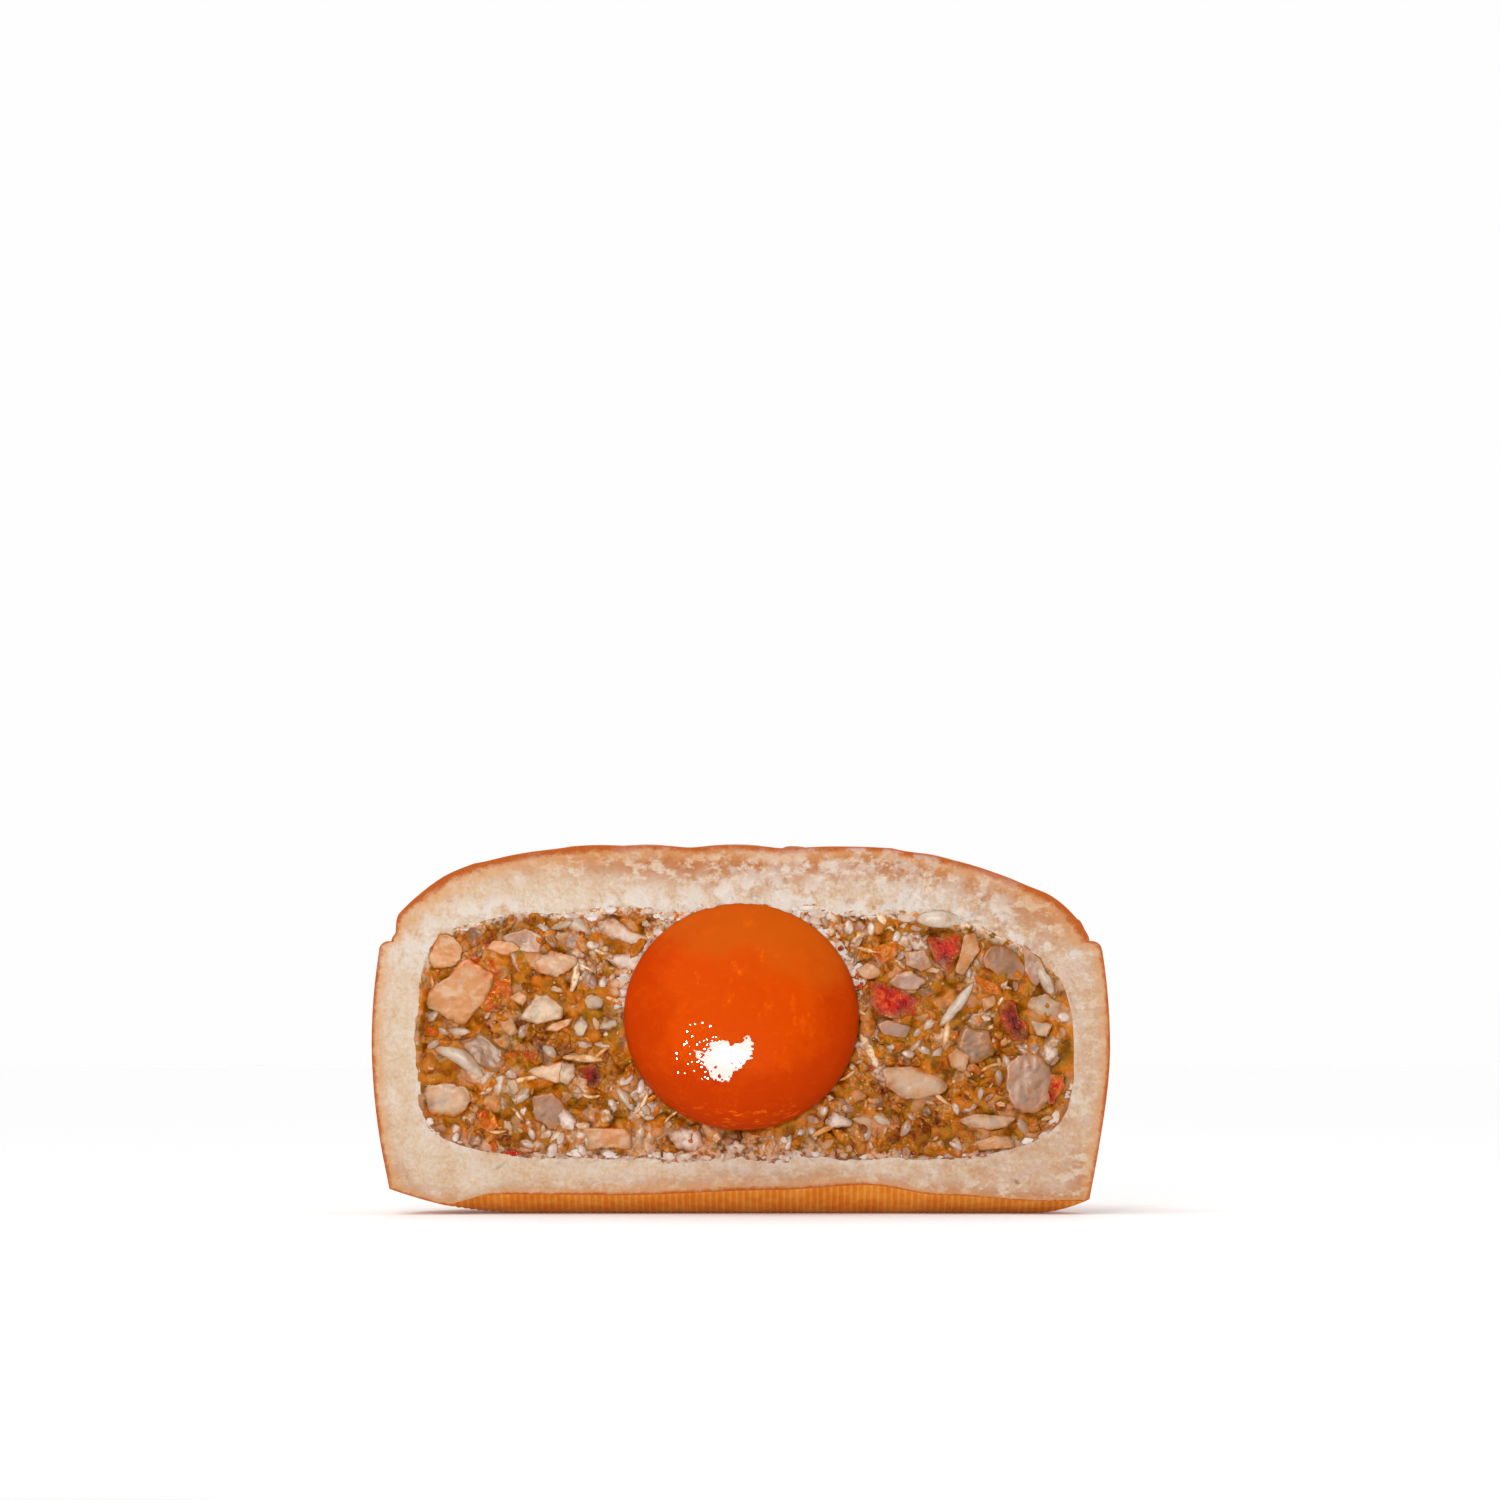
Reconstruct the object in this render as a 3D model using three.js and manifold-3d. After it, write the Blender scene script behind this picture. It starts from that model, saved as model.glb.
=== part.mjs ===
// Half of a round baked mooncake, cut through the middle: a moulded crust, a filling of fruit, nuts
// and seeds, the large pieces that show in the cut, and a whole egg yolk that bulges out of it.
// Millimetres, +Z up. The cut looks towards -Y, and the origin is the middle of the base.
import * as THREE from 'three';
import { mergeVertices } from 'three/addons/utils/BufferGeometryUtils.js';
import Module from 'manifold-3d';

const wasm = await Module();
wasm.setup();

// Driving dimensions
const CAKE_RADIUS = 44; // widest part of the side wall
const FOOT_RADIUS = 41.6; // where the wall starts, above the rounded lower edge
const FOOT_LEFT = { flat: 27, rise: 3 }; // the lower edge lifts further in on the left
const FOOT_RIGHT = { flat: 35.4, rise: 1.9 };
const FOOT_CURVE = 1.7;
const FOOT_MEAN_RISE = (FOOT_LEFT.rise + FOOT_RIGHT.rise) / 2;
const FOOT_LIP = 0.5; // width of the last turn from the underside into the wall
const WALL_CURVE = 1.7;
const BULGE_HEIGHT = 20; // height at which the wall is widest
const SHOULDER_HEIGHT = 31.4; // top of the wall, at the mould's rim
const SHOULDER_RADIUS = 43.1;
const LEDGE_HEIGHT = 32.5; // the narrow ledge inside the rim, where the dome starts
const LEDGE_ROUND = 0.4; // rounding at the ledge's outer and inner edge
const DOME_RADIUS = 41.6;
const DOME_RISE = 9.8; // ledge to the ground of the moulded picture
const DOME_CURVE = 3; // above 2, the dome is flatter on top than a ball
const STEEPEST_LEAN = 1.2; // radians; limits how far the picture leans out at the rim
const CUT_EDGE_DEPTH = 6; // how far back the knife left the underside turned up
// Height of that turned edge at places along the cut, from left to right
const CUT_EDGE = [
  [-41.6, 0],
  [-36, 1],
  [-29, 2.4],
  [-14, 2.3],
  [4, 2.9],
  [15, 3.5],
  [24, 2.3],
  [36, 1.6],
  [44, 1.6],
];
const GAP = 0.3; // clearance between pieces that touch

const FILLING_MIDDLE = 20; // height of the filling's widest level
const FILLING_RIGHT = 39.4;
const FILLING_LEFT = 38.3;
const FILLING_ABOVE = 16.3; // reach above and below the middle
const FILLING_BELOW = 13.5;
const FILLING_SQUARE = { below: 5, left: 5.5, right: 3 }; // 2 is round, more is boxier

const YOLK_CENTRE = { x: 0.1, z: 23.5 };
const YOLK_HALF = { x: 14, z: 13.5, front: 8, back: 13.2 };
const BACK_DEPTH = 60; // beyond the far side of the cake

// Mesh spacing
const PROFILE_SAMPLES = 2000;
const PROFILE_CROWDING = 1.5; // samples crowd towards the steep edge of the dome
const DOME_STEP = 1.3;
const WALL_STEP = 3.4;
const WALL_LEVELS = 8;
const BASE_STEP = 4.5;
const BASE_EDGE_RINGS = 7;
const FILLING_FACETS = [40, 14];
const YOLK_FACETS = [30, 14];
const PIECE_FACETS = [10, 6];

const CRUST_COLOUR = 0xc9792e;
const FILLING_COLOUR = 0xa06a2c;
const YOLK_COLOUR = 0xe24e06;
const NUT_COLOUR = 0xe3b07a;
const SEED_COLOUR = 0xe6d8b8;
const FRUIT_COLOUR = 0xb3200f;
const CANDIED_COLOUR = 0xb59a78;

// The moulded picture: waves that roll into curls. Each curl is named by its eye, the way its tail
// runs off, and the hand it rolls with; width and height are in millimetres, roll is 1 / radius.
const CURLS = [
  { eye: [-28.5, 12.5], tail: -104, hand: 1, length: 38, roll: 0.5, tip: 2.6, base: 7.8, height: 1.9 },
  { eye: [-4, 15.5], tail: -98, hand: 1, length: 40, roll: 0.48, tip: 2.8, base: 7.6, height: 1.9 },
  { eye: [15.5, 12.5], tail: -74, hand: -1, length: 38, roll: 0.48, tip: 2.7, base: 7.8, height: 1.9 },
  { eye: [-16, 28], tail: 168, hand: -1, length: 40, roll: 0.5, tip: 2.5, base: 5.2, height: 1.8 },
  { eye: [10.5, 28.5], tail: 78, hand: -1, length: 38, roll: 0.5, tip: 2.5, base: 5.4, height: 1.8 },
  { eye: [30, 23.5], tail: 72, hand: 1, length: 32, roll: 0.52, tip: 2.3, base: 4.4, height: 1.7 },
  { eye: [-37.6, 12.5], tail: -100, hand: 1, length: 24, roll: 0.66, tip: 1.7, base: 3, height: 1.5 },
  { eye: [-18, 9], tail: -100, hand: -1, length: 20, roll: 0.8, tip: 1.9, base: 5.6, height: 1.8 },
  { eye: [6, 10.5], tail: -100, hand: 1, length: 20, roll: 0.8, tip: 1.8, base: 5.6, height: 1.8 },
  { eye: [32, 10], tail: -92, hand: -1, length: 20, roll: 0.8, tip: 1.7, base: 2.7, height: 1.4 },
  { eye: [-4, 34], tail: 150, hand: -1, length: 20, roll: 0.8, tip: 1.7, base: 2.9, height: 1.6 },
  { eye: [20.5, 35.5], tail: 36, hand: 1, length: 14, roll: 0.8, tip: 1.5, base: 2.4, height: 1.5 },
  { eye: [-28, 25], tail: 200, hand: 1, length: 18, roll: 0.84, tip: 1.6, base: 2.6, height: 1.5 },
];
const CURL_STEPS = 60;
const CURL_EASE = 2.5; // how suddenly a body tightens into its curl
const COUNTER_ROLL = 0.012; // the slight opposite bend of a tail

// Groups of side-by-side ridges: ripples between the waves, and fans that follow the rim.
const RIDGES = [
  { centre: [-1, 32], radius: 6, step: 2.3, count: 4, start: 200, sweep: 120, height: 1 },
  { centre: [18, 25.5], radius: 3.6, step: 2.2, count: 3, start: 190, sweep: 130, height: 0.9 },
  { centre: [12, -8], radius: 8.6, step: 2.3, count: 3, start: 40, sweep: 100, height: 1.1 },
  { centre: [-24.5, -6], radius: 6.6, step: 2.3, count: 3, start: 40, sweep: 100, height: 1.1 },
  { centre: [0, 0], radius: 39.4, step: -2.2, count: 3, start: 98, sweep: 24, height: 1.2 },
  { centre: [0, 0], radius: 39.4, step: -2.2, count: 4, start: 34, sweep: 24, height: 1.2 },
  { centre: [0, 0], radius: 39.4, step: -2.2, count: 3, start: 10, sweep: 16, height: 1.2 },
  { centre: [0, 0], radius: 39.4, step: -2.2, count: 3, start: 136, sweep: 14, height: 1.2 },
];
const RIDGE_STEPS = 26;
const RIDGE_HALF_WIDTH = 1.15;
const RIDGE_STAGGER = 2.5; // degrees by which each ridge starts later than the one before
const RIDGE_TIP = 0.35; // width of a ridge's tip, as a share of its middle
const RIDGE_TAPER = 0.4; // how suddenly a ridge narrows to its tips
const PILLOW = 1.35; // above 1, a stroke is flatter on top than a round cord
const RELIEF_FADE = [39.6, 41.3]; // radii between which the picture dies away at the rim

// The large pieces in the cut. Sizes are across, up and back; lean is anticlockwise in degrees.
const PIECES = [
  { name: 'nut_chunk_1', kind: 'nut', at: [-32.8, 26.6], size: [8.6, 5.8, 5], lean: 42 },
  { name: 'nut_chunk_2', kind: 'nut', at: [-23.5, 24.4], size: [5.4, 3.8, 4], lean: 18 },
  { name: 'nut_chunk_3', kind: 'nut', at: [-34.4, 13.2], size: [6, 4, 4.4], lean: -8 },
  { name: 'nut_slice_1', kind: 'nut', at: [-21.9, 29.8], size: [6.2, 3.2, 4], lean: 6 },
  { name: 'nut_slice_2', kind: 'nut', at: [20.8, 15.6], size: [8.8, 3.8, 4.4], lean: -12 },
  { name: 'melon_seed_1', kind: 'seed', at: [-33.2, 18.2], size: [7.2, 2.2, 3], lean: -33 },
  { name: 'melon_seed_2', kind: 'seed', at: [23.8, 35], size: [6.3, 2.2, 3], lean: -4 },
  { name: 'melon_seed_3', kind: 'seed', at: [25.8, 25], size: [6.8, 1.8, 3], lean: 52 },
  { name: 'melon_seed_4', kind: 'seed', at: [36.4, 27.6], size: [4.6, 1.8, 3], lean: -62 },
  { name: 'red_fruit_1', kind: 'fruit', at: [18.6, 25.6], size: [6.4, 4.6, 4.4], lean: -10 },
  { name: 'red_fruit_2', kind: 'fruit', at: [24, 31], size: [5.2, 4.6, 4.4], lean: -48 },
  { name: 'red_fruit_3', kind: 'fruit', at: [32.4, 23.2], size: [4.2, 5, 4], lean: 28 },
  { name: 'candied_melon_1', kind: 'candied', at: [34.3, 15.8], size: [6.8, 7.6, 5], lean: 12 },
  { name: 'candied_melon_2', kind: 'candied', at: [31.2, 30], size: [6, 4.2, 4.4], lean: -24 },
  { name: 'candied_melon_3', kind: 'candied', at: [-22.6, 12.4], size: [4.8, 4.8, 4.2], lean: 30 },
];
// How boxy each kind is (2 is round) and how far its front stands out of the cut
const KINDS = {
  nut: { square: 3.6, proud: 0.6, colour: NUT_COLOUR },
  seed: { square: 2.2, proud: 0.7, colour: SEED_COLOUR },
  fruit: { square: 2.6, proud: 0.4, colour: FRUIT_COLOUR },
  candied: { square: 3, proud: 0.3, colour: CANDIED_COLOUR },
};
const PIECE_LUMPS = 0.06; // unevenness of a large piece, as a share of its size
const LUMP_WAVES = [5, 3, 4]; // waves of that unevenness across, up and back

// The small pieces fused to the filling, largest first
const SCATTER = [
  { count: 14, size: [4.2, 2.8, 2.6], square: 3, facets: [6, 4] },
  { count: 16, size: [3.4, 1.4, 1.6], square: 2, facets: [5, 3] },
  { count: 28, size: [2.6, 1.7, 1.4], square: 2, facets: [5, 3] },
];
const SCATTER_TRIES = 400;
const SCATTER_SEED = 20;
const SCATTER_PROUD = [0.45, 0.8]; // least and most that a small piece stands out of the cut
const SCATTER_CORNER = 3; // how boxy the area is that the small pieces fill
const SCATTER_OVERLAP = 0.85; // share of its reach that a small piece keeps clear of others
const LARGE_OVERLAP = 0.8;
const FRONT_CELL = 3.2;
const FRONT_ROUGHNESS = 0.2; // height of each of those waves
// The waves that roughen the cut filling: turns per millimetre across and up, and the start
const FRONT_WAVES = [[0.83, 0.4, 0], [-0.3, 1.1, 1], [1.9, 1.7, 2]];

function seededRandom(seed) {
  let state = seed;
  return () => {
    state = (Math.imul(state, 1664525) + 1013904223) >>> 0;
    return state / 4294967296;
  };
}

function smoothstep(low, high, value) {
  const t = Math.min(1, Math.max(0, (value - low) / (high - low)));
  return t * t * (3 - 2 * t);
}

function toSolid(geometry) {
  const bare = geometry.clone();
  for (const name of ['normal', 'uv']) bare.deleteAttribute(name);
  const merged = mergeVertices(bare, 1e-5);
  const mesh = new wasm.Mesh({
    numProp: 3,
    vertProperties: new Float32Array(merged.attributes.position.array),
    triVerts: new Uint32Array(merged.index.array),
  });
  return new wasm.Manifold(mesh);
}

// The largest body of a solid, with loose scraps left behind
function largestBody(solid) {
  const bodies = solid.decompose();
  return bodies.reduce((best, body) => (body.volume() > best.volume() ? body : best));
}

function toGeometry(solid) {
  const { vertProperties, triVerts } = solid.getMesh();
  const geometry = new THREE.BufferGeometry();
  geometry.setAttribute('position', new THREE.BufferAttribute(new Float32Array(vertProperties), 3));
  geometry.setIndex(new THREE.BufferAttribute(new Uint32Array(triVerts), 1));
  geometry.computeVertexNormals();
  return geometry;
}

// A curl as a string of discs, from its eye out to the end of its tail
function curlStroke({ eye, tail, hand, length, roll, tip, base, height }) {
  const step = length / (CURL_STEPS - 1);
  const bends = Array.from({ length: CURL_STEPS }, (_, i) => {
    const along = i / (CURL_STEPS - 1);
    return hand * (roll * (1 - along) ** CURL_EASE - COUNTER_ROLL);
  });
  const turns = [0];
  for (let i = 1; i < CURL_STEPS; i++) turns.push(turns[i - 1] + ((bends[i] + bends[i - 1]) / 2) * step);
  const first = THREE.MathUtils.degToRad(tail) - turns[CURL_STEPS - 1];
  const discs = [];
  let [x, y] = eye;
  for (let i = 0; i < CURL_STEPS; i++) {
    discs.push({ x, y, half: THREE.MathUtils.lerp(tip, base, i / (CURL_STEPS - 1)), height });
    const next = Math.min(i + 1, CURL_STEPS - 1);
    const heading = first + (turns[i] + turns[next]) / 2;
    x += Math.cos(heading) * step;
    y += Math.sin(heading) * step;
  }
  return discs;
}

function ridgeStrokes({ centre, radius, step, count, start, sweep, height }) {
  const discs = [];
  for (let ridge = 0; ridge < count; ridge++) {
    for (let i = 0; i < RIDGE_STEPS; i++) {
      const along = i / (RIDGE_STEPS - 1);
      const reach = sweep - 2 * RIDGE_STAGGER * ridge;
      const angle = THREE.MathUtils.degToRad(start + RIDGE_STAGGER * ridge + reach * along);
      const swell = Math.sin(Math.PI * THREE.MathUtils.clamp(along, 0.01, 0.99)) ** RIDGE_TAPER;
      const distance = radius + ridge * step;
      discs.push({
        x: centre[0] + distance * Math.cos(angle),
        y: centre[1] + distance * Math.sin(angle),
        half: RIDGE_HALF_WIDTH * THREE.MathUtils.lerp(RIDGE_TIP, 1, swell),
        height: height * swell,
      });
    }
  }
  return discs;
}

const reliefDiscs = [...CURLS.flatMap(curlStroke), ...RIDGES.flatMap(ridgeStrokes)];

// Height of the moulded picture above the dome at a point seen from above
function reliefHeight(x, y) {
  let tallest = 0;
  for (const disc of reliefDiscs) {
    const away = ((x - disc.x) ** 2 + (y - disc.y) ** 2) / disc.half ** 2;
    if (away < 1) tallest = Math.max(tallest, disc.height * Math.sqrt(1 - away ** PILLOW));
  }
  return tallest * (1 - smoothstep(RELIEF_FADE[0], RELIEF_FADE[1], Math.hypot(x, y)));
}

// The lifted lower edge on the side where a point lies, from 1 on the right to -1 on the left
function footAt(side) {
  const right = (1 + side) / 2;
  return {
    flat: THREE.MathUtils.lerp(FOOT_LEFT.flat, FOOT_RIGHT.flat, right),
    rise: THREE.MathUtils.lerp(FOOT_LEFT.rise, FOOT_RIGHT.rise, right),
  };
}

function cutEdgeHeight(x) {
  const next = Math.max(1, CUT_EDGE.findIndex(([place]) => place > x));
  const [left, low] = CUT_EDGE[next - 1];
  const [right, high] = CUT_EDGE[next];
  return THREE.MathUtils.lerp(low, high, smoothstep(left, right, x));
}

function baseHeight(radius, x, y) {
  const { flat, rise } = footAt(radius > 0 ? x / radius : 0);
  const foot = rise * (Math.max(0, radius - flat) / (FOOT_RADIUS - flat)) ** FOOT_CURVE;
  const edge = cutEdgeHeight(x) * Math.max(0, 1 - y / CUT_EDGE_DEPTH) ** 2;
  return Math.max(foot, edge);
}

function wallRadius(height) {
  if (height < BULGE_HEIGHT) {
    const down = (BULGE_HEIGHT - height) / (BULGE_HEIGHT - FOOT_MEAN_RISE);
    return CAKE_RADIUS - (CAKE_RADIUS - FOOT_RADIUS) * down ** WALL_CURVE;
  }
  const up = (height - BULGE_HEIGHT) / (SHOULDER_HEIGHT - BULGE_HEIGHT);
  return CAKE_RADIUS - (CAKE_RADIUS - SHOULDER_RADIUS) * up ** 2;
}

function domeHeight(radius) {
  return LEDGE_HEIGHT + DOME_RISE * Math.sqrt(Math.max(0, 1 - (radius / DOME_RADIUS) ** DOME_CURVE));
}

// How far the dome's surface leans away from level, in radians
function domeLean(radius) {
  const level = Math.sqrt(Math.max(1e-6, 1 - (radius / DOME_RADIUS) ** DOME_CURVE));
  const slope = ((DOME_RISE * DOME_CURVE) / 2 / DOME_RADIUS) * (radius / DOME_RADIUS) ** (DOME_CURVE - 1);
  return Math.min(Math.atan(slope / level), STEEPEST_LEAN);
}

// The outline of the crust from the middle of the base, out and up, to the top of the dome
function crustProfile() {
  const rings = [];
  for (let r = 0; r < FOOT_LEFT.flat; r += BASE_STEP) rings.push({ r, part: 'base', step: BASE_STEP });
  for (let i = 0; i < BASE_EDGE_RINGS; i++) {
    const r = THREE.MathUtils.lerp(FOOT_LEFT.flat, FOOT_RADIUS - FOOT_LIP, i / (BASE_EDGE_RINGS - 1));
    rings.push({ r, part: 'base', step: BASE_STEP });
  }
  for (let i = 0; i <= WALL_LEVELS; i++) {
    rings.push({ r: CAKE_RADIUS, level: i / WALL_LEVELS, part: 'wall', step: WALL_STEP });
  }
  const turn = { z: LEDGE_HEIGHT - LEDGE_ROUND / 2, part: 'ledge', step: WALL_STEP };
  rings.push({ ...turn, r: SHOULDER_RADIUS - LEDGE_ROUND });
  rings.push({ ...turn, r: DOME_RADIUS + LEDGE_ROUND, z: LEDGE_HEIGHT });
  let travelled = 0;
  let last = { r: DOME_RADIUS, z: LEDGE_HEIGHT };
  rings.push({ ...last, part: 'dome', step: DOME_STEP });
  for (let i = 1; i <= PROFILE_SAMPLES; i++) {
    const r = DOME_RADIUS * (1 - (i / PROFILE_SAMPLES) ** PROFILE_CROWDING);
    const point = { r, z: domeHeight(r) };
    travelled += Math.hypot(point.r - last.r, point.z - last.z);
    last = point;
    if (travelled > DOME_STEP && r > DOME_STEP / 2) {
      rings.push({ ...point, part: 'dome', step: DOME_STEP });
      travelled = 0;
    }
  }
  rings.push({ r: 0, z: domeHeight(0), part: 'dome', step: DOME_STEP });
  return rings;
}

function crustPoint({ r, z, level, part }, turn) {
  const away = turn === Math.PI ? 0 : Math.sin(turn);
  const x = r * Math.cos(turn);
  const y = r * away;
  if (part === 'base') return [x, y, baseHeight(r, x, y)];
  if (part === 'wall') {
    const height = THREE.MathUtils.lerp(footAt(Math.cos(turn)).rise, SHOULDER_HEIGHT, level);
    return [wallRadius(height) * Math.cos(turn), wallRadius(height) * away, height];
  }
  if (part === 'ledge') return [x, y, z];
  const relief = reliefHeight(x, y);
  const lean = domeLean(r);
  const outward = 1 + (relief * Math.sin(lean)) / Math.max(r, 1);
  return [x * outward, y * outward, z + relief * Math.cos(lean)];
}

// Joins two rings of points, which may differ in number, with a strip of triangles
function stitch(lower, upper, triangles) {
  let i = 0;
  let j = 0;
  while (i < lower.length - 1 || j < upper.length - 1) {
    const nextLower = i < lower.length - 1 ? (i + 1) / (lower.length - 1) : Infinity;
    const nextUpper = j < upper.length - 1 ? (j + 1) / (upper.length - 1) : Infinity;
    if (nextLower <= nextUpper) {
      triangles.push(lower[i], lower[i + 1], upper[j]);
      i += 1;
    } else {
      triangles.push(lower[i], upper[j + 1], upper[j]);
      j += 1;
    }
  }
}

// The half cake before it is hollowed: half rings of points stitched together, and the flat cut
function halfCake() {
  const points = [];
  const triangles = [];
  const rings = crustProfile().map((ring) => {
    const count = ring.r === 0 ? 0 : Math.max(2, Math.round((Math.PI * ring.r) / ring.step));
    return Array.from({ length: count + 1 }, (_, i) => {
      points.push(crustPoint(ring, count ? (Math.PI * i) / count : 0));
      return points.length - 1;
    });
  });
  for (let i = 1; i < rings.length; i++) stitch(rings[i - 1], rings[i], triangles);
  const right = rings.map((ring) => ring[0]);
  const left = rings.slice(1, -1).map((ring) => ring[ring.length - 1]);
  const outline = [...right, ...left.reverse()];
  const flat = outline.map((index) => new THREE.Vector2(points[index][0], points[index][2]));
  for (const [a, b, c] of THREE.ShapeUtils.triangulateShape(flat, [])) {
    triangles.push(outline[a], outline[b], outline[c]);
  }
  const geometry = new THREE.BufferGeometry();
  geometry.setAttribute('position', new THREE.Float32BufferAttribute(points.flat(), 3));
  geometry.setIndex(triangles);
  return toSolid(geometry);
}

// A sphere whose points are moved by a function of their own unit direction
function shapedSphere(around, up, move) {
  const geometry = new THREE.SphereGeometry(1, around, up);
  geometry.rotateX(Math.PI / 2);
  const position = geometry.attributes.position;
  for (let i = 0; i < position.count; i++) {
    position.setXYZ(i, ...move(position.getX(i), position.getY(i), position.getZ(i)));
  }
  return geometry;
}

function swollen(value, power) {
  return Math.sign(value) * Math.abs(value) ** power;
}

// The filling's whole round body, squarer on the left than on the right; grow makes its hollow
function fillingBody(grow) {
  return toSolid(
    shapedSphere(...FILLING_FACETS, (ux, uy, uz) => {
      const level = Math.hypot(ux, uy);
      const right = level > 1e-6 ? (1 + ux / level) / 2 : 0.5;
      const above = THREE.MathUtils.lerp(FILLING_SQUARE.left, FILLING_SQUARE.right, right);
      const square = uz < 0 ? FILLING_SQUARE.below : above;
      const reach = THREE.MathUtils.lerp(FILLING_LEFT, FILLING_RIGHT, right) + grow;
      const rise = (uz < 0 ? FILLING_BELOW : FILLING_ABOVE) + grow;
      const spread = level > 1e-6 ? (reach * level ** (2 / square)) / level : 0;
      return [ux * spread, uy * spread, FILLING_MIDDLE + rise * swollen(uz, 2 / square)];
    }),
  );
}

function yolkGeometry(grow) {
  return shapedSphere(...YOLK_FACETS, (ux, uy, uz) => {
    const depth = uy < 0 ? YOLK_HALF.front : YOLK_HALF.back;
    const { x, z } = YOLK_CENTRE;
    return [x + ux * (YOLK_HALF.x + grow), uy * (depth + grow), z + uz * (YOLK_HALF.z + grow)];
  });
}

// A rounded, slightly lumpy piece, with its front just out of the cut
function morsel({ at, size, lean, square, proud, lumps, facets, grow }) {
  const half = size.map((side) => side / 2 + grow);
  const [wavesAcross, wavesUp, wavesBack] = LUMP_WAVES;
  const geometry = shapedSphere(...facets, (ux, uy, uz) => {
    const flatWave = Math.sin(wavesAcross * ux + wavesUp * uz + at[0]);
    const wobble = 1 + lumps * flatWave * Math.cos(wavesBack * uy - at[1]);
    return [
      wobble * half[0] * swollen(ux, 2 / square),
      wobble * half[2] * swollen(uy, 2 / square),
      wobble * half[1] * swollen(uz, 2 / square),
    ];
  });
  geometry.rotateY(-THREE.MathUtils.degToRad(lean));
  geometry.translate(at[0], size[2] / 2 - proud, at[1]);
  return geometry;
}

function pieceGeometry({ kind, at, size, lean }, grow) {
  const { square, proud } = KINDS[kind];
  return morsel({ at, size, lean, square, proud, lumps: PIECE_LUMPS, facets: PIECE_FACETS, grow });
}

// True where a piece of this reach stays inside the filling and clear of all that is placed
function isFree(x, z, reach, taken) {
  const side = x > 0 ? FILLING_RIGHT : FILLING_LEFT;
  const rise = z > FILLING_MIDDLE ? FILLING_ABOVE : FILLING_BELOW;
  const across = Math.abs(x) / (side - reach);
  const up = Math.abs(z - FILLING_MIDDLE) / (rise - reach);
  if (across ** SCATTER_CORNER + up ** SCATTER_CORNER > 1) return false;
  return taken.every((other) => Math.hypot(x - other.x, z - other.z) > reach + other.reach);
}

// The small pieces, largest first, spread over the cut by seeded draws
function scatteredPieces() {
  const random = seededRandom(SCATTER_SEED);
  const taken = [{ ...YOLK_CENTRE, reach: YOLK_HALF.x + GAP }];
  for (const { at, size } of PIECES) {
    taken.push({ x: at[0], z: at[1], reach: (LARGE_OVERLAP * Math.max(size[0], size[1])) / 2 + GAP });
  }
  const solids = [];
  for (const { count, size, square, facets } of SCATTER) {
    let placed = 0;
    for (let tries = 0; placed < count && tries < SCATTER_TRIES; tries++) {
      const x = THREE.MathUtils.lerp(-FILLING_LEFT, FILLING_RIGHT, random());
      const z = FILLING_MIDDLE + THREE.MathUtils.lerp(-FILLING_BELOW, FILLING_ABOVE, random());
      const lean = 180 * random();
      const proud = THREE.MathUtils.lerp(...SCATTER_PROUD, random());
      const reach = size[0] / 2;
      if (!isFree(x, z, reach, taken)) continue;
      taken.push({ x, z, reach: SCATTER_OVERLAP * reach });
      solids.push(toSolid(morsel({ at: [x, z], size, lean, square, proud, lumps: 0, facets, grow: 0 })));
      placed += 1;
    }
  }
  return solids;
}

// A block whose uneven front face roughens the filling where the knife went through
function frontBlock() {
  const width = 2 * CAKE_RADIUS;
  const height = CAKE_RADIUS;
  const cells = [Math.round(width / FRONT_CELL), Math.round(height / FRONT_CELL)];
  const block = new THREE.BoxGeometry(width, BACK_DEPTH, height, cells[0], 1, cells[1]);
  block.translate(0, BACK_DEPTH / 2, height / 2);
  const position = block.attributes.position;
  for (let i = 0; i < position.count; i++) {
    if (position.getY(i) > 1) continue;
    const x = position.getX(i);
    const z = position.getZ(i);
    const wave = FRONT_WAVES.reduce((sum, [a, b, start]) => sum + Math.sin(a * x + b * z + start), 0);
    position.setY(i, FRONT_ROUGHNESS * wave);
  }
  return toSolid(block);
}

const yolkPocket = toSolid(yolkGeometry(GAP));
const piecePockets = PIECES.map((piece) => toSolid(pieceGeometry(piece, GAP)));

function crustSolid() {
  const hollowed = halfCake().subtract(fillingBody(0)).subtract(yolkPocket);
  return largestBody(piecePockets.reduce((solid, pocket) => solid.subtract(pocket), hollowed));
}

function fillingSolid() {
  const core = fillingBody(-GAP).intersect(frontBlock());
  const filled = scatteredPieces().reduce((solid, piece) => solid.add(piece), core);
  const open = filled.subtract(yolkPocket);
  return largestBody(piecePockets.reduce((solid, pocket) => solid.subtract(pocket), open));
}

function meshOf(name, geometry, color, roughness) {
  const material = new THREE.MeshStandardMaterial({ color, roughness, metalness: 0 });
  const mesh = new THREE.Mesh(geometry, material);
  mesh.name = name;
  return mesh;
}

const cake = new THREE.Group();
cake.add(meshOf('crust', toGeometry(crustSolid()), CRUST_COLOUR, 0.5));
cake.add(meshOf('filling', toGeometry(fillingSolid()), FILLING_COLOUR, 0.35));
cake.add(meshOf('yolk', yolkGeometry(0), YOLK_COLOUR, 0.15));
for (const piece of PIECES) {
  cake.add(meshOf(piece.name, pieceGeometry(piece, 0), KINDS[piece.kind].colour, 0.45));
}
// The cut plane stands in front of the origin by half of what the cake reaches behind it
cake.position.y = (YOLK_HALF.front - CAKE_RADIUS) / 2;

const model = new THREE.Group();
model.add(cake);

export default model;
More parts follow.
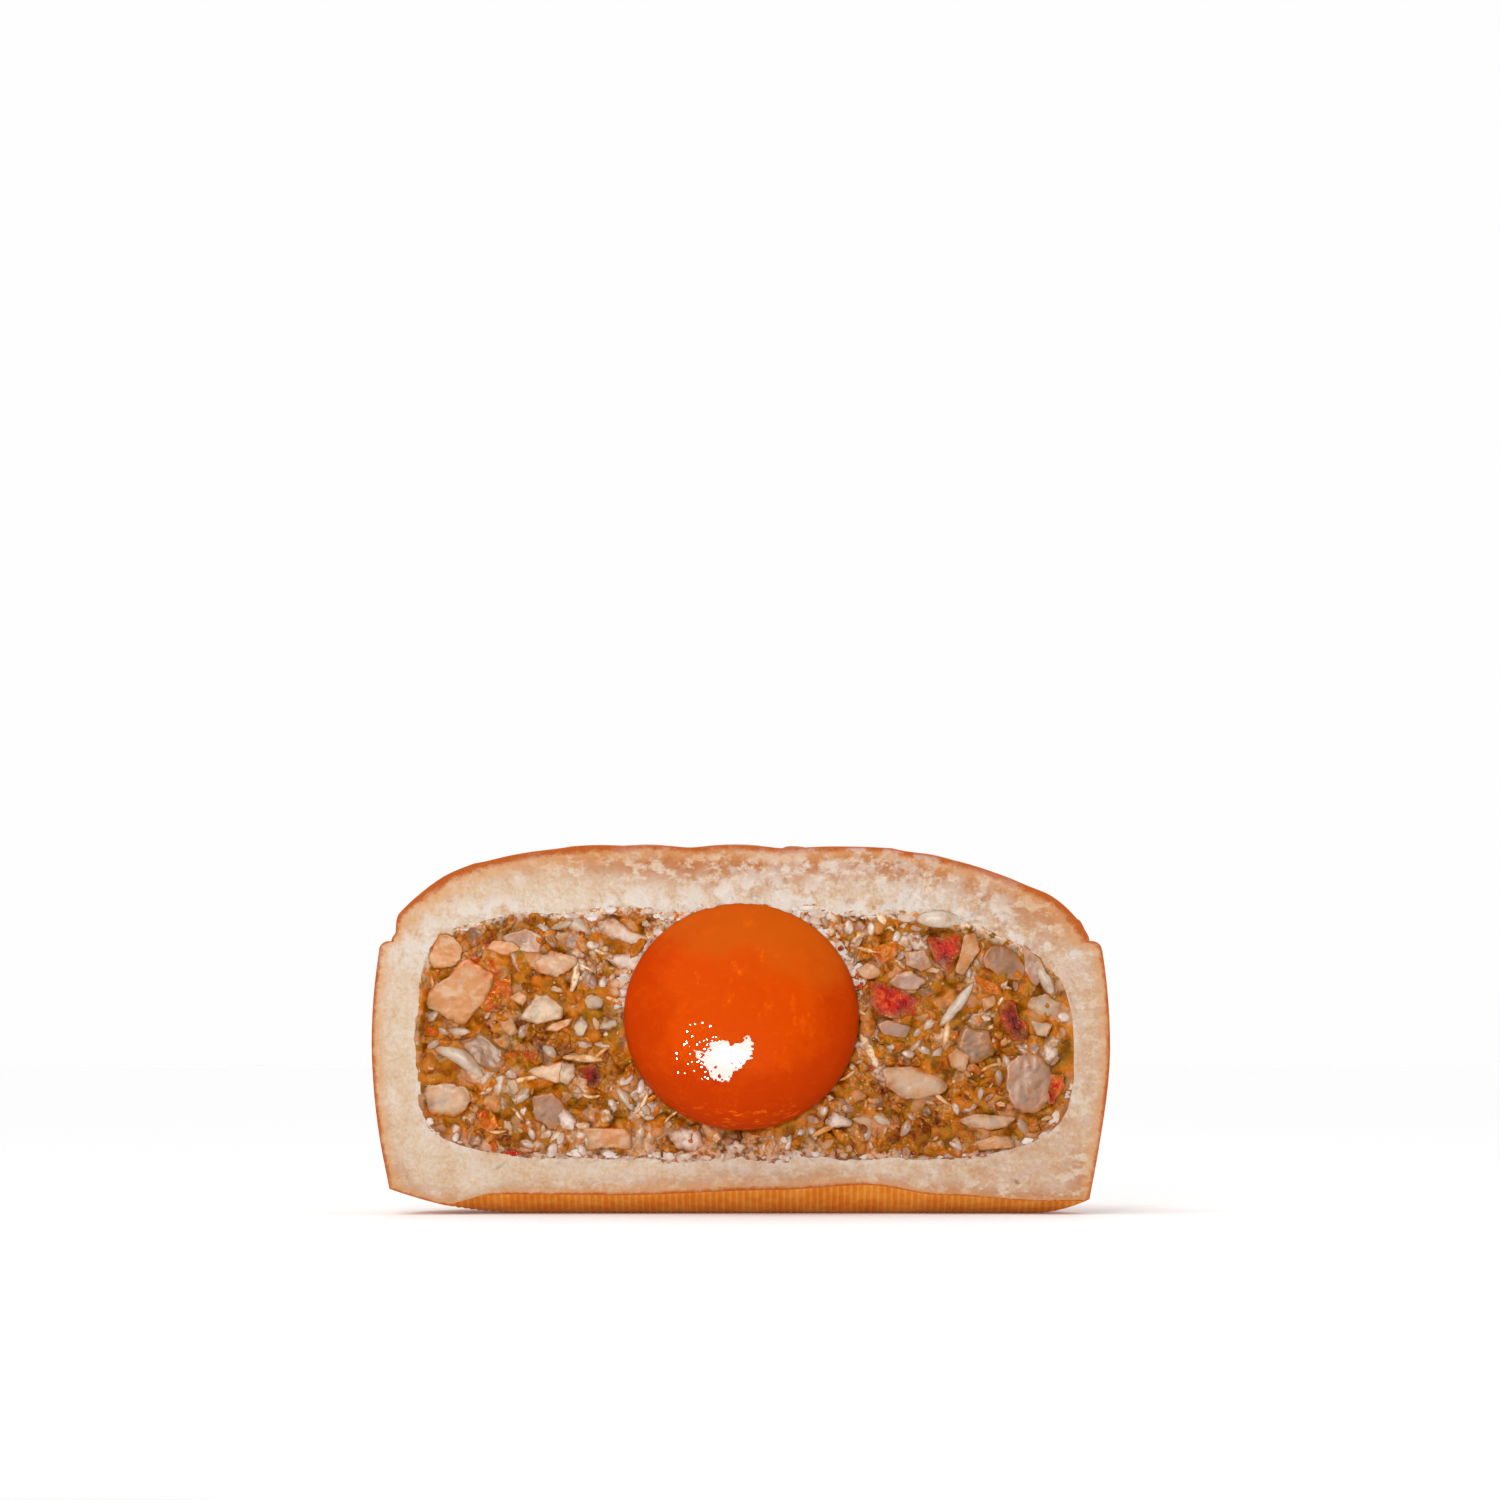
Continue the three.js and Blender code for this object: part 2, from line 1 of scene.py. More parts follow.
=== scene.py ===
"""Half of a baked fruit mooncake: a moulded crust, a mixed filling and a whole egg yolk, in a plain studio.

Sizes are millimetres in the cake's own coordinates, where the cut is the plane y = 0 and the base
is z = 0. Meshes are turned into metres in the frame's coordinates when they are made.
"""

import functools
import itertools
import logging
import math
from dataclasses import dataclass, field
from enum import Enum
from typing import Sequence

import bmesh
import bpy
import numpy as np
from mathutils import Matrix, Vector


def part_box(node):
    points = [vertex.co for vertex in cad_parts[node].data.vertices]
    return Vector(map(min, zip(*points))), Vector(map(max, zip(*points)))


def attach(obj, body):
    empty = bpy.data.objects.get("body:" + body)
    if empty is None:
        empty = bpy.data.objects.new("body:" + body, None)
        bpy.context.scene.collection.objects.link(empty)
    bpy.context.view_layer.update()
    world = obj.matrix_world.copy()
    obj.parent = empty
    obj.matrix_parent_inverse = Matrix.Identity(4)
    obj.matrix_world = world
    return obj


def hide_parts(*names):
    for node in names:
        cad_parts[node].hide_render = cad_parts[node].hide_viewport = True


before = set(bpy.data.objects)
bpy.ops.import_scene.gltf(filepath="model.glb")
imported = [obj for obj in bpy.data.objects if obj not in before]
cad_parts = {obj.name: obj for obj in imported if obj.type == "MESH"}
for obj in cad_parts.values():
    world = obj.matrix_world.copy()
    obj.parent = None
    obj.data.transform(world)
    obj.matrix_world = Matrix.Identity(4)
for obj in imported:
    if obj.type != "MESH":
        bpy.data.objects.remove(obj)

LOG = logging.getLogger("mooncake")
MM = 0.001
BODY = "root"
CRUST_LOW, CRUST_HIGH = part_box("crust")
YOLK_LOW, YOLK_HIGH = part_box("yolk")
CUT_Y = CRUST_LOW.y / MM

Array = np.ndarray
Socket = bpy.types.NodeSocket
Material = bpy.types.Material
Piece = bpy.types.Object
Colour = tuple[float, float, float, float]
Pair = tuple[float, float]
Layer = tuple[float, float, int]
# Size and depth of a fine relief, in millimetres
Relief = tuple[float, float]


def screen(red: int, green: int, blue: int) -> Colour:
    """Turn a colour as it looks on a screen into the linear colour that shaders take.

    Args:
        red, green, blue: Channels from 0 to 255.

    Returns:
        The linear colour, opaque.
    """
    channels = [value / 255 for value in (red, green, blue)]
    linear = [c / 12.92 if c <= 0.04045 else ((c + 0.055) / 1.055) ** 2.4 for c in channels]
    return (*linear, 1.0)


def tones(*colours: tuple[int, int, int]) -> tuple[Colour, ...]:
    """Turn several colours as they look on a screen into linear ones."""
    return tuple(screen(*colour) for colour in colours)


def rows_of(*columns: Array | float) -> Array:
    """Set columns of numbers side by side, one row for each place."""
    return np.stack(np.broadcast_arrays(*columns), axis=-1)


def climb(low: float, high: float, value: Array) -> Array:
    """Rise smoothly from 0 at low to 1 at high."""
    t = np.clip((value - low) / (high - low), 0, 1)
    return t * t * (3 - 2 * t)


def lerp(low: float, high: float, share: Array) -> Array:
    """Blend from low to high by share."""
    return low + (high - low) * share


def fade(low: float, high: float, value: Array) -> Array:
    """Fall smoothly from 1 at low to 0 at high."""
    return 1 - climb(low, high, value)


def rays(angle: Array) -> Array:
    """Turn directions in radians into points one away from the middle."""
    return rows_of(np.cos(angle), np.sin(angle))


def all_round(count: int) -> Array:
    """Space directions evenly all round, in radians."""
    return np.linspace(0, math.tau, count, endpoint=False)


def hashed(cells: Array, seed: int) -> Array:
    """Give each whole-numbered cell its own number between 0 and 1.

    Args:
        cells: Whole numbers, one row for each cell.
        seed: Chooses one of many sets of numbers.

    Returns:
        One number for each row.
    """
    primes = np.array([73856093, 19349663, 83492791], np.int64)[: cells.shape[-1]]
    mixed = (cells.astype(np.int64) * primes).sum(axis=-1) ^ (seed * 668265263)
    mixed = ((mixed ^ (mixed >> 13)) * 1274126177) & 0xFFFFFFFF
    mixed = ((mixed ^ (mixed >> 16)) * 2246822519) & 0xFFFFFFFF
    return ((mixed >> 8) & 0xFFFF) / 65535


def rough(points: Array, size: float, seed: int) -> Array:
    """Smooth noise between -1 and 1.

    Args:
        points: Places in millimetres, one row each, with two or three columns.
        size: Width of a bump in millimetres.
        seed: Chooses the pattern.

    Returns:
        One value for each place.
    """
    scaled = points / size
    corner = np.floor(scaled).astype(np.int64)
    part = scaled - corner
    part = part * part * (3 - 2 * part)
    total = np.zeros(points.shape[:-1])
    for offset in itertools.product((0, 1), repeat=points.shape[-1]):
        step = np.array(offset)
        weight = np.where(step, part, 1 - part).prod(axis=-1)
        total += weight * hashed(corner + step, seed)
    return 2 * total - 1


def layered(points: Array, *layers: Layer) -> Array:
    """Add up layers of noise, each given by its strength, its size in millimetres and its seed."""
    return sum(strength * rough(points, size, seed) for strength, size, seed in layers)


def nearest_cell(points: Array, size: float, seed: int) -> tuple[Array, Array]:
    """Find the nearest of many scattered points, one in each square cell of a plane.

    Args:
        points: Places in millimetres, one row each, with two columns.
        size: Width of a cell in millimetres.
        seed: Chooses the pattern.

    Returns:
        The distance in millimetres, and a number between 0 and 1 that belongs to that point.
    """
    scaled = points / size
    corner = np.floor(scaled).astype(np.int64)
    best = np.full(points.shape[:-1], np.inf)
    label = np.zeros(points.shape[:-1])
    for offset in itertools.product((-1, 0, 1), repeat=2):
        cell = corner + np.array(offset)
        spot = cell + rows_of(hashed(cell, seed), hashed(cell, seed + 1))
        distance = np.linalg.norm(scaled - spot, axis=-1)
        closer = distance < best
        best = np.where(closer, distance, best)
        label = np.where(closer, hashed(cell, seed + 2), label)
    return best * size, label


@dataclass
class Draft:
    """Points, faces and values at the points, gathered for one mesh."""

    points: list[Array] = field(default_factory=list)
    faces: list[Array] = field(default_factory=list)
    values: dict[str, list[Array]] = field(default_factory=dict)
    materials: list[Array] = field(default_factory=list)
    count: int = 0

    def add(self, points: Array, faces: Array | tuple = (), **values: Array | float) -> Array:
        """Add points, with faces that take the piece's first material.

        Args:
            points: Places in millimetres, one row each.
            faces: Corner numbers, counted from the first of these points, if there are any.
            values: Named values at the points.

        Returns:
            The numbers of the points added.
        """
        first = self.count
        self.points.append(points)
        if len(faces):
            self.join(faces + first)
        for name, value in values.items():
            self.values.setdefault(name, []).append(np.broadcast_to(value, len(points)))
        self.count += len(points)
        return np.arange(first, self.count)

    def join(self, faces: Array, material: int = 0) -> None:
        """Add faces between points that are already there."""
        self.faces.append(faces)
        self.materials.append(np.full(len(faces), material))

    def mesh(self, name: str, finishes: Sequence[Material], crease: float = 60) -> Piece:
        """Make the object, in metres in the frame's coordinates.

        Args:
            name: Name of the piece.
            finishes: Its materials, in the order that the faces number them.
            crease: Edges sharper than this many degrees stay sharp.

        Returns:
            The new object, linked to the scene.
        """
        points = (np.concatenate(self.points) + (0, CUT_Y, 0)) * MM
        faces = [face for block in self.faces for face in block.tolist()]
        data = bpy.data.meshes.new(name)
        data.from_pydata(points, [], faces)
        for finish in finishes:
            data.materials.append(finish)
        data.polygons.foreach_set("material_index", np.concatenate(self.materials).astype(np.int32))
        for key, blocks in self.values.items():
            layer = data.attributes.new(key, "FLOAT", "POINT")
            layer.data.foreach_set("value", np.concatenate(blocks).astype(np.float32))
        tidy = bmesh.new()
        tidy.from_mesh(data)
        bmesh.ops.remove_doubles(tidy, verts=tidy.verts, dist=1e-7)
        bmesh.ops.dissolve_degenerate(tidy, edges=tidy.edges, dist=1e-7)
        bmesh.ops.recalc_face_normals(tidy, faces=tidy.faces)
        tidy.to_mesh(data)
        tidy.free()
        data.polygons.foreach_set("use_smooth", np.ones(len(data.polygons), bool))
        data.set_sharp_from_angle(angle=math.radians(crease))
        piece = bpy.data.objects.new(name, data)
        bpy.context.scene.collection.objects.link(piece)
        return piece


def grid_faces(rows: int, columns: int, wrap: bool = False) -> Array:
    """Number the four-sided faces of a grid of points stored row by row.

    Args:
        rows: Rows of points.
        columns: Points in a row.
        wrap: Whether the last point of a row joins the first.

    Returns:
        Corner numbers, one row for each face.
    """
    last = columns if wrap else columns - 1
    row, column = np.meshgrid(np.arange(rows - 1) * columns, np.arange(last), indexing="ij")
    after = (column + 1) % columns
    beyond = row + columns
    return rows_of(row + column, row + after, beyond + after, beyond + column).reshape(-1, 4)


def band(first: Array, second: Array) -> Array:
    """Join two closed loops of points with four-sided faces."""
    return rows_of(first, np.roll(first, -1), np.roll(second, -1), second)


def fan(loop: Array, tip: Array) -> Array:
    """Join a closed loop of points to one more point with triangles."""
    return rows_of(loop, np.roll(loop, -1), tip)


def bowl(middle: Array, ray: Array, rows: int, front: float, back: float) -> list[Array]:
    """Round a hollow off behind the cut.

    Args:
        middle: Its middle in the cut, across and up.
        ray: From there to each point of its edge.
        rows: Rows of points, counting the edge.
        front, back: How far behind the cut its edge and its deepest place lie.

    Returns:
        The points of each row but the edge.
    """
    made = []
    for bend in np.linspace(0, math.pi / 2, rows)[1:]:
        place = middle + ray * max(math.cos(bend), 1e-4)
        made.append(rows_of(place[:, 0], lerp(front, back, math.sin(bend)), place[:, 1]))
    return made


# Materials


class Graph:
    """The node tree of a material or a sky, with short calls for the nodes that they share."""

    def __init__(self, name: str, is_sky: bool = False) -> None:
        """Start a tree with its shader.

        Args:
            name: Name of the material or the sky.
            is_sky: Whether it is a sky.
        """
        kinds = bpy.data.worlds if is_sky else bpy.data.materials
        self.holder = kinds.new(name)
        self.holder.use_nodes = True
        self.tree = self.holder.node_tree
        self.shader = self.tree.nodes["Background" if is_sky else "Principled BSDF"]
        self.place = self.node("TexCoord").outputs["Generated" if is_sky else "Object"]

    def node(self, kind: str, inputs: dict | None = None, **settings: object) -> bpy.types.Node:
        """Add a node, and set its properties and its inputs.

        Args:
            kind: Its kind.
            inputs: What its sockets take, by their names or numbers.
            settings: Its properties.

        Returns:
            The node.
        """
        made = self.tree.nodes.new("ShaderNode" + kind)
        for key, value in settings.items():
            setattr(made, key, value)
        for key, value in (inputs or {}).items():
            self.feed(made.inputs[key], value)
        return made

    def feed(self, socket: Socket, value: object) -> None:
        """Link a socket to an output, or set it to a plain value.

        Args:
            socket: The socket.
            value: The output or the value.
        """
        if isinstance(value, Socket):
            self.tree.links.new(value, socket)
        else:
            socket.default_value = value

    def noise(
        self, size: float, detail: float = 3, roughness: float = 0.5, stretch: Sequence[float] = (1, 1, 1)
    ) -> Socket:
        """Noise with features of a size in millimetres.

        Args:
            size: Width of the largest feature.
            detail: Octaves of finer features.
            roughness: Strength of the finer features.
            stretch: How much longer the features are along x, y and z.

        Returns:
            The noise, between 0 and 1.
        """
        mapping = self.node("Mapping", {"Vector": self.place, "Scale": [1 / s for s in stretch]})
        given = {"Scale": 1 / (size * MM), "Detail": detail, "Roughness": roughness}
        return self.node("TexNoise", {"Vector": mapping.outputs["Vector"], **given}).outputs["Fac"]

    def cells(self, size: float, place: Socket | None = None) -> bpy.types.Node:
        """Cells round many scattered points, about size millimetres apart."""
        return self.node("TexVoronoi", {"Vector": place or self.place, "Scale": 1 / (size * MM)})

    def bits(self, size: float) -> Socket:
        """A number between 0 and 1 for each of many wavy-edged bits, about size millimetres wide.

        Args:
            size: How wide the bits are.

        Returns:
            The number.
        """
        wander = self.node("TexNoise", {"Vector": self.place, "Scale": 1.5 / (size * MM), "Detail": 4})
        given = {0: wander.outputs["Color"], 1: [1.2 * size * MM] * 3, 2: self.place}
        shift = self.node("VectorMath", given, operation="MULTIPLY_ADD")
        cells = self.cells(size, shift.outputs["Vector"])
        return self.node("SeparateColor", {"Color": cells.outputs["Color"]}).outputs["Red"]

    def stripes(self, pitch: float) -> Socket:
        """A number that swings between 0 and 1 along x, once every pitch in millimetres.

        Args:
            pitch: Width of a stripe and its gap.

        Returns:
            The number.
        """
        split = self.node("SeparateXYZ", {"Vector": self.place})
        turn = self.times(split.outputs["X"], math.tau / (pitch * MM))
        return self.span(self.math("COSINE", turn), 1, -1)

    def wander(self, amount: float, size: float, detail: float = 3, roughness: float = 0.5) -> Socket:
        """Noise that swings by an amount to either side of 0."""
        return self.span(self.noise(size, detail, roughness), 0.3, 0.7, -amount, amount)

    def value(self, name: str) -> Socket:
        """Read a value that the mesh holds at its points."""
        return self.node("Attribute", attribute_name=name).outputs["Fac"]

    def ramp(self, factor: Socket, places: Sequence[float], colours: Sequence[Colour]) -> Socket:
        """Turn a factor into a colour.

        Args:
            factor: What to look up.
            places: Places between 0 and 1.
            colours: The colour at each place.

        Returns:
            The colour.
        """
        made = self.node("ValToRGB", {"Fac": factor})
        steps = made.color_ramp.elements
        while len(steps) < len(colours):
            steps.new(0.5)
        for step, place, colour in zip(steps, places, colours):
            step.position = place
            step.color = colour
        return made.outputs["Color"]

    def span(
        self, factor: Socket, low: float, high: float, to_low: float = 0, to_high: float = 1
    ) -> Socket:
        """Stretch the part of a factor between low and high, and cut off the rest."""
        given = dict(enumerate((factor, low, high, to_low, to_high)))
        return self.node("MapRange", given, interpolation_type="SMOOTHSTEP").outputs["Result"]

    def mix(self, factor: object, first: object, second: object) -> Socket:
        """Blend two colours."""
        return self.node("Mix", {0: factor, 6: first, 7: second}, data_type="RGBA").outputs[2]

    def math(self, operation: str, first: object, second: object = 0.0) -> Socket:
        """Work out a number from one or two others."""
        return self.node("Math", {0: first, 1: second}, operation=operation).outputs["Value"]

    def sum(self, first: object, second: object) -> Socket:
        """Add two numbers."""
        return self.math("ADD", first, second)

    def times(self, first: object, second: object) -> Socket:
        """Multiply two numbers."""
        return self.math("MULTIPLY", first, second)

    def bump(self, height: Socket, depth: float, under: Socket | None = None) -> Socket:
        """Tilt the surface by a height.

        Args:
            height: The height, between 0 and 1.
            depth: What a height of 1 stands for, in millimetres.
            under: A tilt that this one adds to.

        Returns:
            The tilted normal.
        """
        given = {"Distance": depth * MM, "Height": height}
        if under is not None:
            given["Normal"] = under
        return self.node("Bump", given).outputs["Normal"]

    def grain(
        self, size: float, depth: float, detail: float = 3, roughness: float = 0.6,
        under: Socket | None = None,
    ) -> Socket:
        """Tilt the surface by noise of a size and a depth in millimetres."""
        return self.bump(self.noise(size, detail, roughness), depth, under)

    def glow(self, weight: float, reach: float, green: float, blue: float) -> None:
        """Let light pass through the surface and out again.

        Args:
            weight: Share of the light that does.
            reach: How far red light travels, in millimetres.
            green, blue: How far the other colours travel, as shares of that.
        """
        self.shader.inputs["Subsurface Weight"].default_value = weight
        self.shader.inputs["Subsurface Radius"].default_value = np.array([1, green, blue]) * reach * MM
        self.shader.inputs["Subsurface Scale"].default_value = 1.0

    def finish(
        self, colour: object, roughness: object, normal: object = None, **sockets: object
    ) -> Material:
        """Connect the shader.

        Args:
            colour: Base colour.
            roughness: Roughness.
            normal: Tilted normal, if any.
            sockets: Other inputs of the shader, with underscores for spaces.

        Returns:
            The material.
        """
        self.feed(self.shader.inputs["Base Color"], colour)
        self.feed(self.shader.inputs["Roughness"], roughness)
        if normal is not None:
            self.feed(self.shader.inputs["Normal"], normal)
        for name, given in sockets.items():
            self.feed(self.shader.inputs[name.replace("_", " ")], given)
        return self.holder


@dataclass(frozen=True)
class SkinFinish:
    """Baked outside of the crust: tan in hollows, orange-brown on what stands out, with a soft gloss."""

    pale: Colour = screen(208, 160, 98)
    golden: Colour = screen(206, 136, 50)
    brown: Colour = screen(190, 104, 20)
    dark: Colour = screen(126, 56, 10)
    shine: Colour = (1.0, 0.8, 0.55, 1.0)
    gloss: float = 0.4
    blotch_size: float = 6.0
    speck_gap: float = 2.6
    speck_strength: float = 0.4
    grain: Relief = (0.5, 0.05)
    pores: Relief = (1.6, 0.08)

    def build(self) -> Material:
        """Make the material.

        Returns:
            The material.
        """
        graph = Graph("baked_skin")
        level = graph.sum(graph.value("brown"), graph.wander(0.1, self.blotch_size, 4, 0.6))
        order = (self.pale, self.golden, self.brown, self.dark)
        colour = graph.ramp(level, (0.0, 0.35, 0.7, 1.0), order)
        speck = graph.span(graph.cells(self.speck_gap).outputs["Distance"], 0.06, 0.13, 1, 0)
        colour = graph.mix(graph.times(speck, self.speck_strength), colour, self.dark)
        size, depth = self.pores
        pores = graph.span(graph.noise(size, 2), 0.3, 0.62)
        normal = graph.bump(pores, depth, graph.grain(*self.grain))
        gloss = graph.span(graph.noise(4, 3), 0.3, 0.7, self.gloss - 0.07, self.gloss + 0.1)
        return graph.finish(
            colour, gloss, normal, Coat_Weight=0.06, Coat_Roughness=0.25,
            Specular_IOR_Level=0.4, Specular_Tint=self.shine,
        )


@dataclass(frozen=True)
class BaseFinish:
    """Matte underside of the crust, golden on its fine ribs and browner between them as painted shade."""

    rib: Colour = screen(222, 148, 62)
    golden: Colour = screen(212, 130, 42)
    brown: Colour = screen(204, 110, 28)
    pitch: float = 0.8
    rib_depth: float = 0.1
    grain: Relief = (0.5, 0.06)

    def build(self) -> Material:
        """Make the material.

        Returns:
            The material.
        """
        graph = Graph("baked_base")
        # Stripes of colour with the ribs: browner between them, as painted shade
        rib = graph.sum(graph.stripes(self.pitch), graph.wander(0.3, 0.9))
        level = graph.sum(graph.times(rib, 0.5), graph.span(graph.noise(3.5, 4, 0.6), 0.3, 0.7, 0, 0.5))
        colour = graph.ramp(level, (0.1, 0.5, 0.95), (self.brown, self.golden, self.rib))
        normal = graph.bump(graph.stripes(self.pitch), self.rib_depth, graph.grain(*self.grain, 4))
        return graph.finish(colour, 0.7, normal, Specular_IOR_Level=0.1)


@dataclass(frozen=True)
class CrumbFinish:
    """Cut face of the crust: pale short crumb, floury patches, tanned towards the skin; painted shade at
    its top and right.
    """

    flour: Colour = screen(225, 211, 198)
    cream: Colour = screen(216, 189, 159)
    straw: Colour = screen(203, 157, 110)
    tan: Colour = screen(214, 154, 98)
    toast_and_shade: Colour = screen(184, 112, 58)
    skin: Colour = screen(184, 90, 24)
    tan_reach: float = 2.1
    skin_reach: float = 0.6
    streak_size: float = 1.8
    clump_size: float = 2.2
    grain: Relief = (0.55, 0.42)
    lumps: Relief = (1.8, 0.25)

    def build(self) -> Material:
        """Make the material.

        Returns:
            The material.
        """
        graph = Graph("cut_crumb")
        tones_up = (self.straw, self.cream, self.flour)
        grain = graph.ramp(graph.noise(0.5, 4, 0.7), (0.38, 0.48, 0.58), tones_up)
        cloud = graph.ramp(graph.noise(3.0, 5, 0.62), (0.36, 0.48, 0.6), tones_up)
        colour = graph.mix(0.5, grain, cloud)
        even = graph.span(graph.value("flour"), 0, 0.5, 0.25, 0)
        colour = graph.mix(even, colour, self.cream)
        # Toasted streaks: browning near the skin and under the top, and painted shade under the top and to
        # the right
        streak = graph.span(graph.noise(self.streak_size, 5, 0.66, (1.3, 1, 0.8)), 0.4, 0.53)
        colour = graph.mix(graph.times(graph.value("warm"), streak), colour, self.toast_and_shade)
        ragged = graph.noise(0.8, 5, 0.7)
        depth = graph.sum(graph.value("skin_depth"), graph.span(ragged, 0.3, 0.7, -0.4, 0.4))
        colour = graph.mix(graph.span(depth, 0.0, self.tan_reach, 0.85, 0), colour, self.tan)
        edge = graph.sum(graph.value("skin_depth"), graph.span(ragged, 0.3, 0.7, -0.16, 0.16))
        colour = graph.mix(graph.span(edge, 0.05, self.skin_reach, 1, 0), colour, self.skin)
        clumps = graph.span(graph.noise(self.clump_size, 6, 0.62), 0.43, 0.57)
        colour = graph.mix(graph.times(graph.value("flour"), clumps), colour, self.flour)
        normal = graph.grain(*self.grain, 5, 0.78, graph.grain(*self.lumps))
        graph.glow(0.2, 0.9, 2 / 3, 4 / 9)
        return graph.finish(colour, 0.75, normal, Specular_IOR_Level=0.3)


@dataclass(frozen=True)
class PasteFinish:
    """Moist paste that binds the filling: golden, amber and olive-brown bits, with a wet shine."""

    amber: Colour = screen(180, 87, 0)
    golden: Colour = screen(178, 112, 32)
    olive: Colour = screen(142, 98, 6)
    umber: Colour = screen(96, 38, 0)
    rose: Colour = screen(190, 150, 122)
    plum: Colour = screen(116, 56, 44)
    flour: Colour = screen(216, 190, 168)
    shine: Colour = (1.0, 0.55, 0.25, 1.0)
    cloud_size: float = 3.6
    bit_size: float = 1.5
    bit_share: float = 0.4
    grain: Relief = (0.3, 0.05)
    lumps: Relief = (0.8, 0.26)

    def colours(self, graph: Graph) -> Socket:
        """Colour of the paste at each place, the same where it lies on other pieces.

        Args:
            graph: Material to add the nodes to.

        Returns:
            The colour.
        """
        order = (self.umber, self.olive, self.amber, self.golden, self.rose)
        cloud = graph.noise(self.cloud_size, 5, 0.62)
        cloud = graph.ramp(cloud, (0.36, 0.45, 0.51, 0.58, 0.68), order)
        bits = graph.ramp(graph.bits(self.bit_size), (0.1, 0.3, 0.52, 0.72, 0.93), order)
        return graph.mix(self.bit_share, cloud, bits)

    def build(self) -> Material:
        """Make the material.

        Returns:
            The material.
        """
        graph = Graph("filling_paste")
        colour = self.colours(graph)
        # Darker in the hollows between bits: syrup colour and painted shade
        colour = graph.mix(graph.times(graph.value("gap"), 0.5), colour, self.umber)
        colour = graph.mix(graph.times(graph.value("rim"), 0.7), colour, self.plum)
        floury = graph.times(graph.value("flour"), graph.span(graph.noise(0.9, 5, 0.65), 0.42, 0.55))
        colour = graph.mix(floury, colour, self.flour)
        normal = graph.grain(*self.grain, 2, 0.5, graph.grain(*self.lumps, 4, 0.62))
        gloss = graph.span(graph.noise(1.2, 3), 0.3, 0.7, 0.05, 0.18)
        graph.glow(0.2, 1.6, 0.5, 3 / 16)
        return graph.finish(colour, gloss, normal, Specular_IOR_Level=0.4, Specular_Tint=self.shine)


@dataclass(frozen=True)
class YolkFinish:
    """Cured egg yolk: clear deep orange with painted shade at the rim and a painted sheen at the top, faint
    veins, and bright wrinkles low down.
    """

    core: Colour = screen(197, 66, 0)
    # Colour of the rim, painted shade; the next colour is the top's painted sheen
    deep: Colour = screen(181, 53, 0)
    haze: Colour = screen(188, 82, 10)
    streak: Colour = screen(250, 120, 10)
    wrinkles: Relief = (0.5, 0.03)
    dents: Relief = (4.0, 0.15)

    def build(self) -> Material:
        """Make the material.

        Returns:
            The material.
        """
        graph = Graph("egg_yolk")
        # Painted shade: darker towards the rim, where the clear value falls off
        clear = graph.sum(graph.value("clear"), graph.wander(0.35, 6, 6, 0.7))
        colour = graph.ramp(clear, (0.1, 0.8), (self.deep, self.core))
        # Painted sheen: paler and greyer towards the top
        haze = graph.sum(graph.value("haze"), graph.wander(0.2, 5))
        colour = graph.mix(graph.span(haze, 0.1, 0.9, 0, 0.8), colour, self.haze)
        vein = graph.span(graph.noise(2.4, 6, 0.72, (0.8, 1, 1.4)), 0.55, 0.72, 0, 0.4)
        colour = graph.mix(graph.times(vein, graph.value("clear")), colour, self.streak)
        thread = graph.span(graph.noise(1.2, 5, 0.75, (1.8, 1, 0.8)), 0.54, 0.62)
        colour = graph.mix(graph.times(thread, graph.value("threads")), colour, self.streak)
        normal = graph.grain(*self.dents, 2, 0.5, graph.grain(*self.wrinkles, 4, 0.7))
        graph.glow(0.3, 4.0, 0.25, 0.05)
        return graph.finish(colour, 0.4, normal, Specular_IOR_Level=0.02)


@dataclass(frozen=True)
class WetFinish:
    """Clear oil that has come out of the yolk, as bright as a mirror where it faces the light."""

    bright: Colour = screen(232, 84, 4)
    deep: Colour = screen(222, 72, 0)
    ripples: Relief = (1.2, 0.03)

    def build(self) -> Material:
        """Make the material.

        Returns:
            The material.
        """
        graph = Graph("yolk_oil")
        tone = graph.ramp(graph.noise(1.5, 2), (0.3, 0.7), (self.deep, self.bright))
        return graph.finish(
            tone, 0.06, graph.grain(*self.ripples),
            Specular_IOR_Level=1.0, Coat_Weight=1.0, Coat_Roughness=0.05, Coat_IOR=2.2,
        )


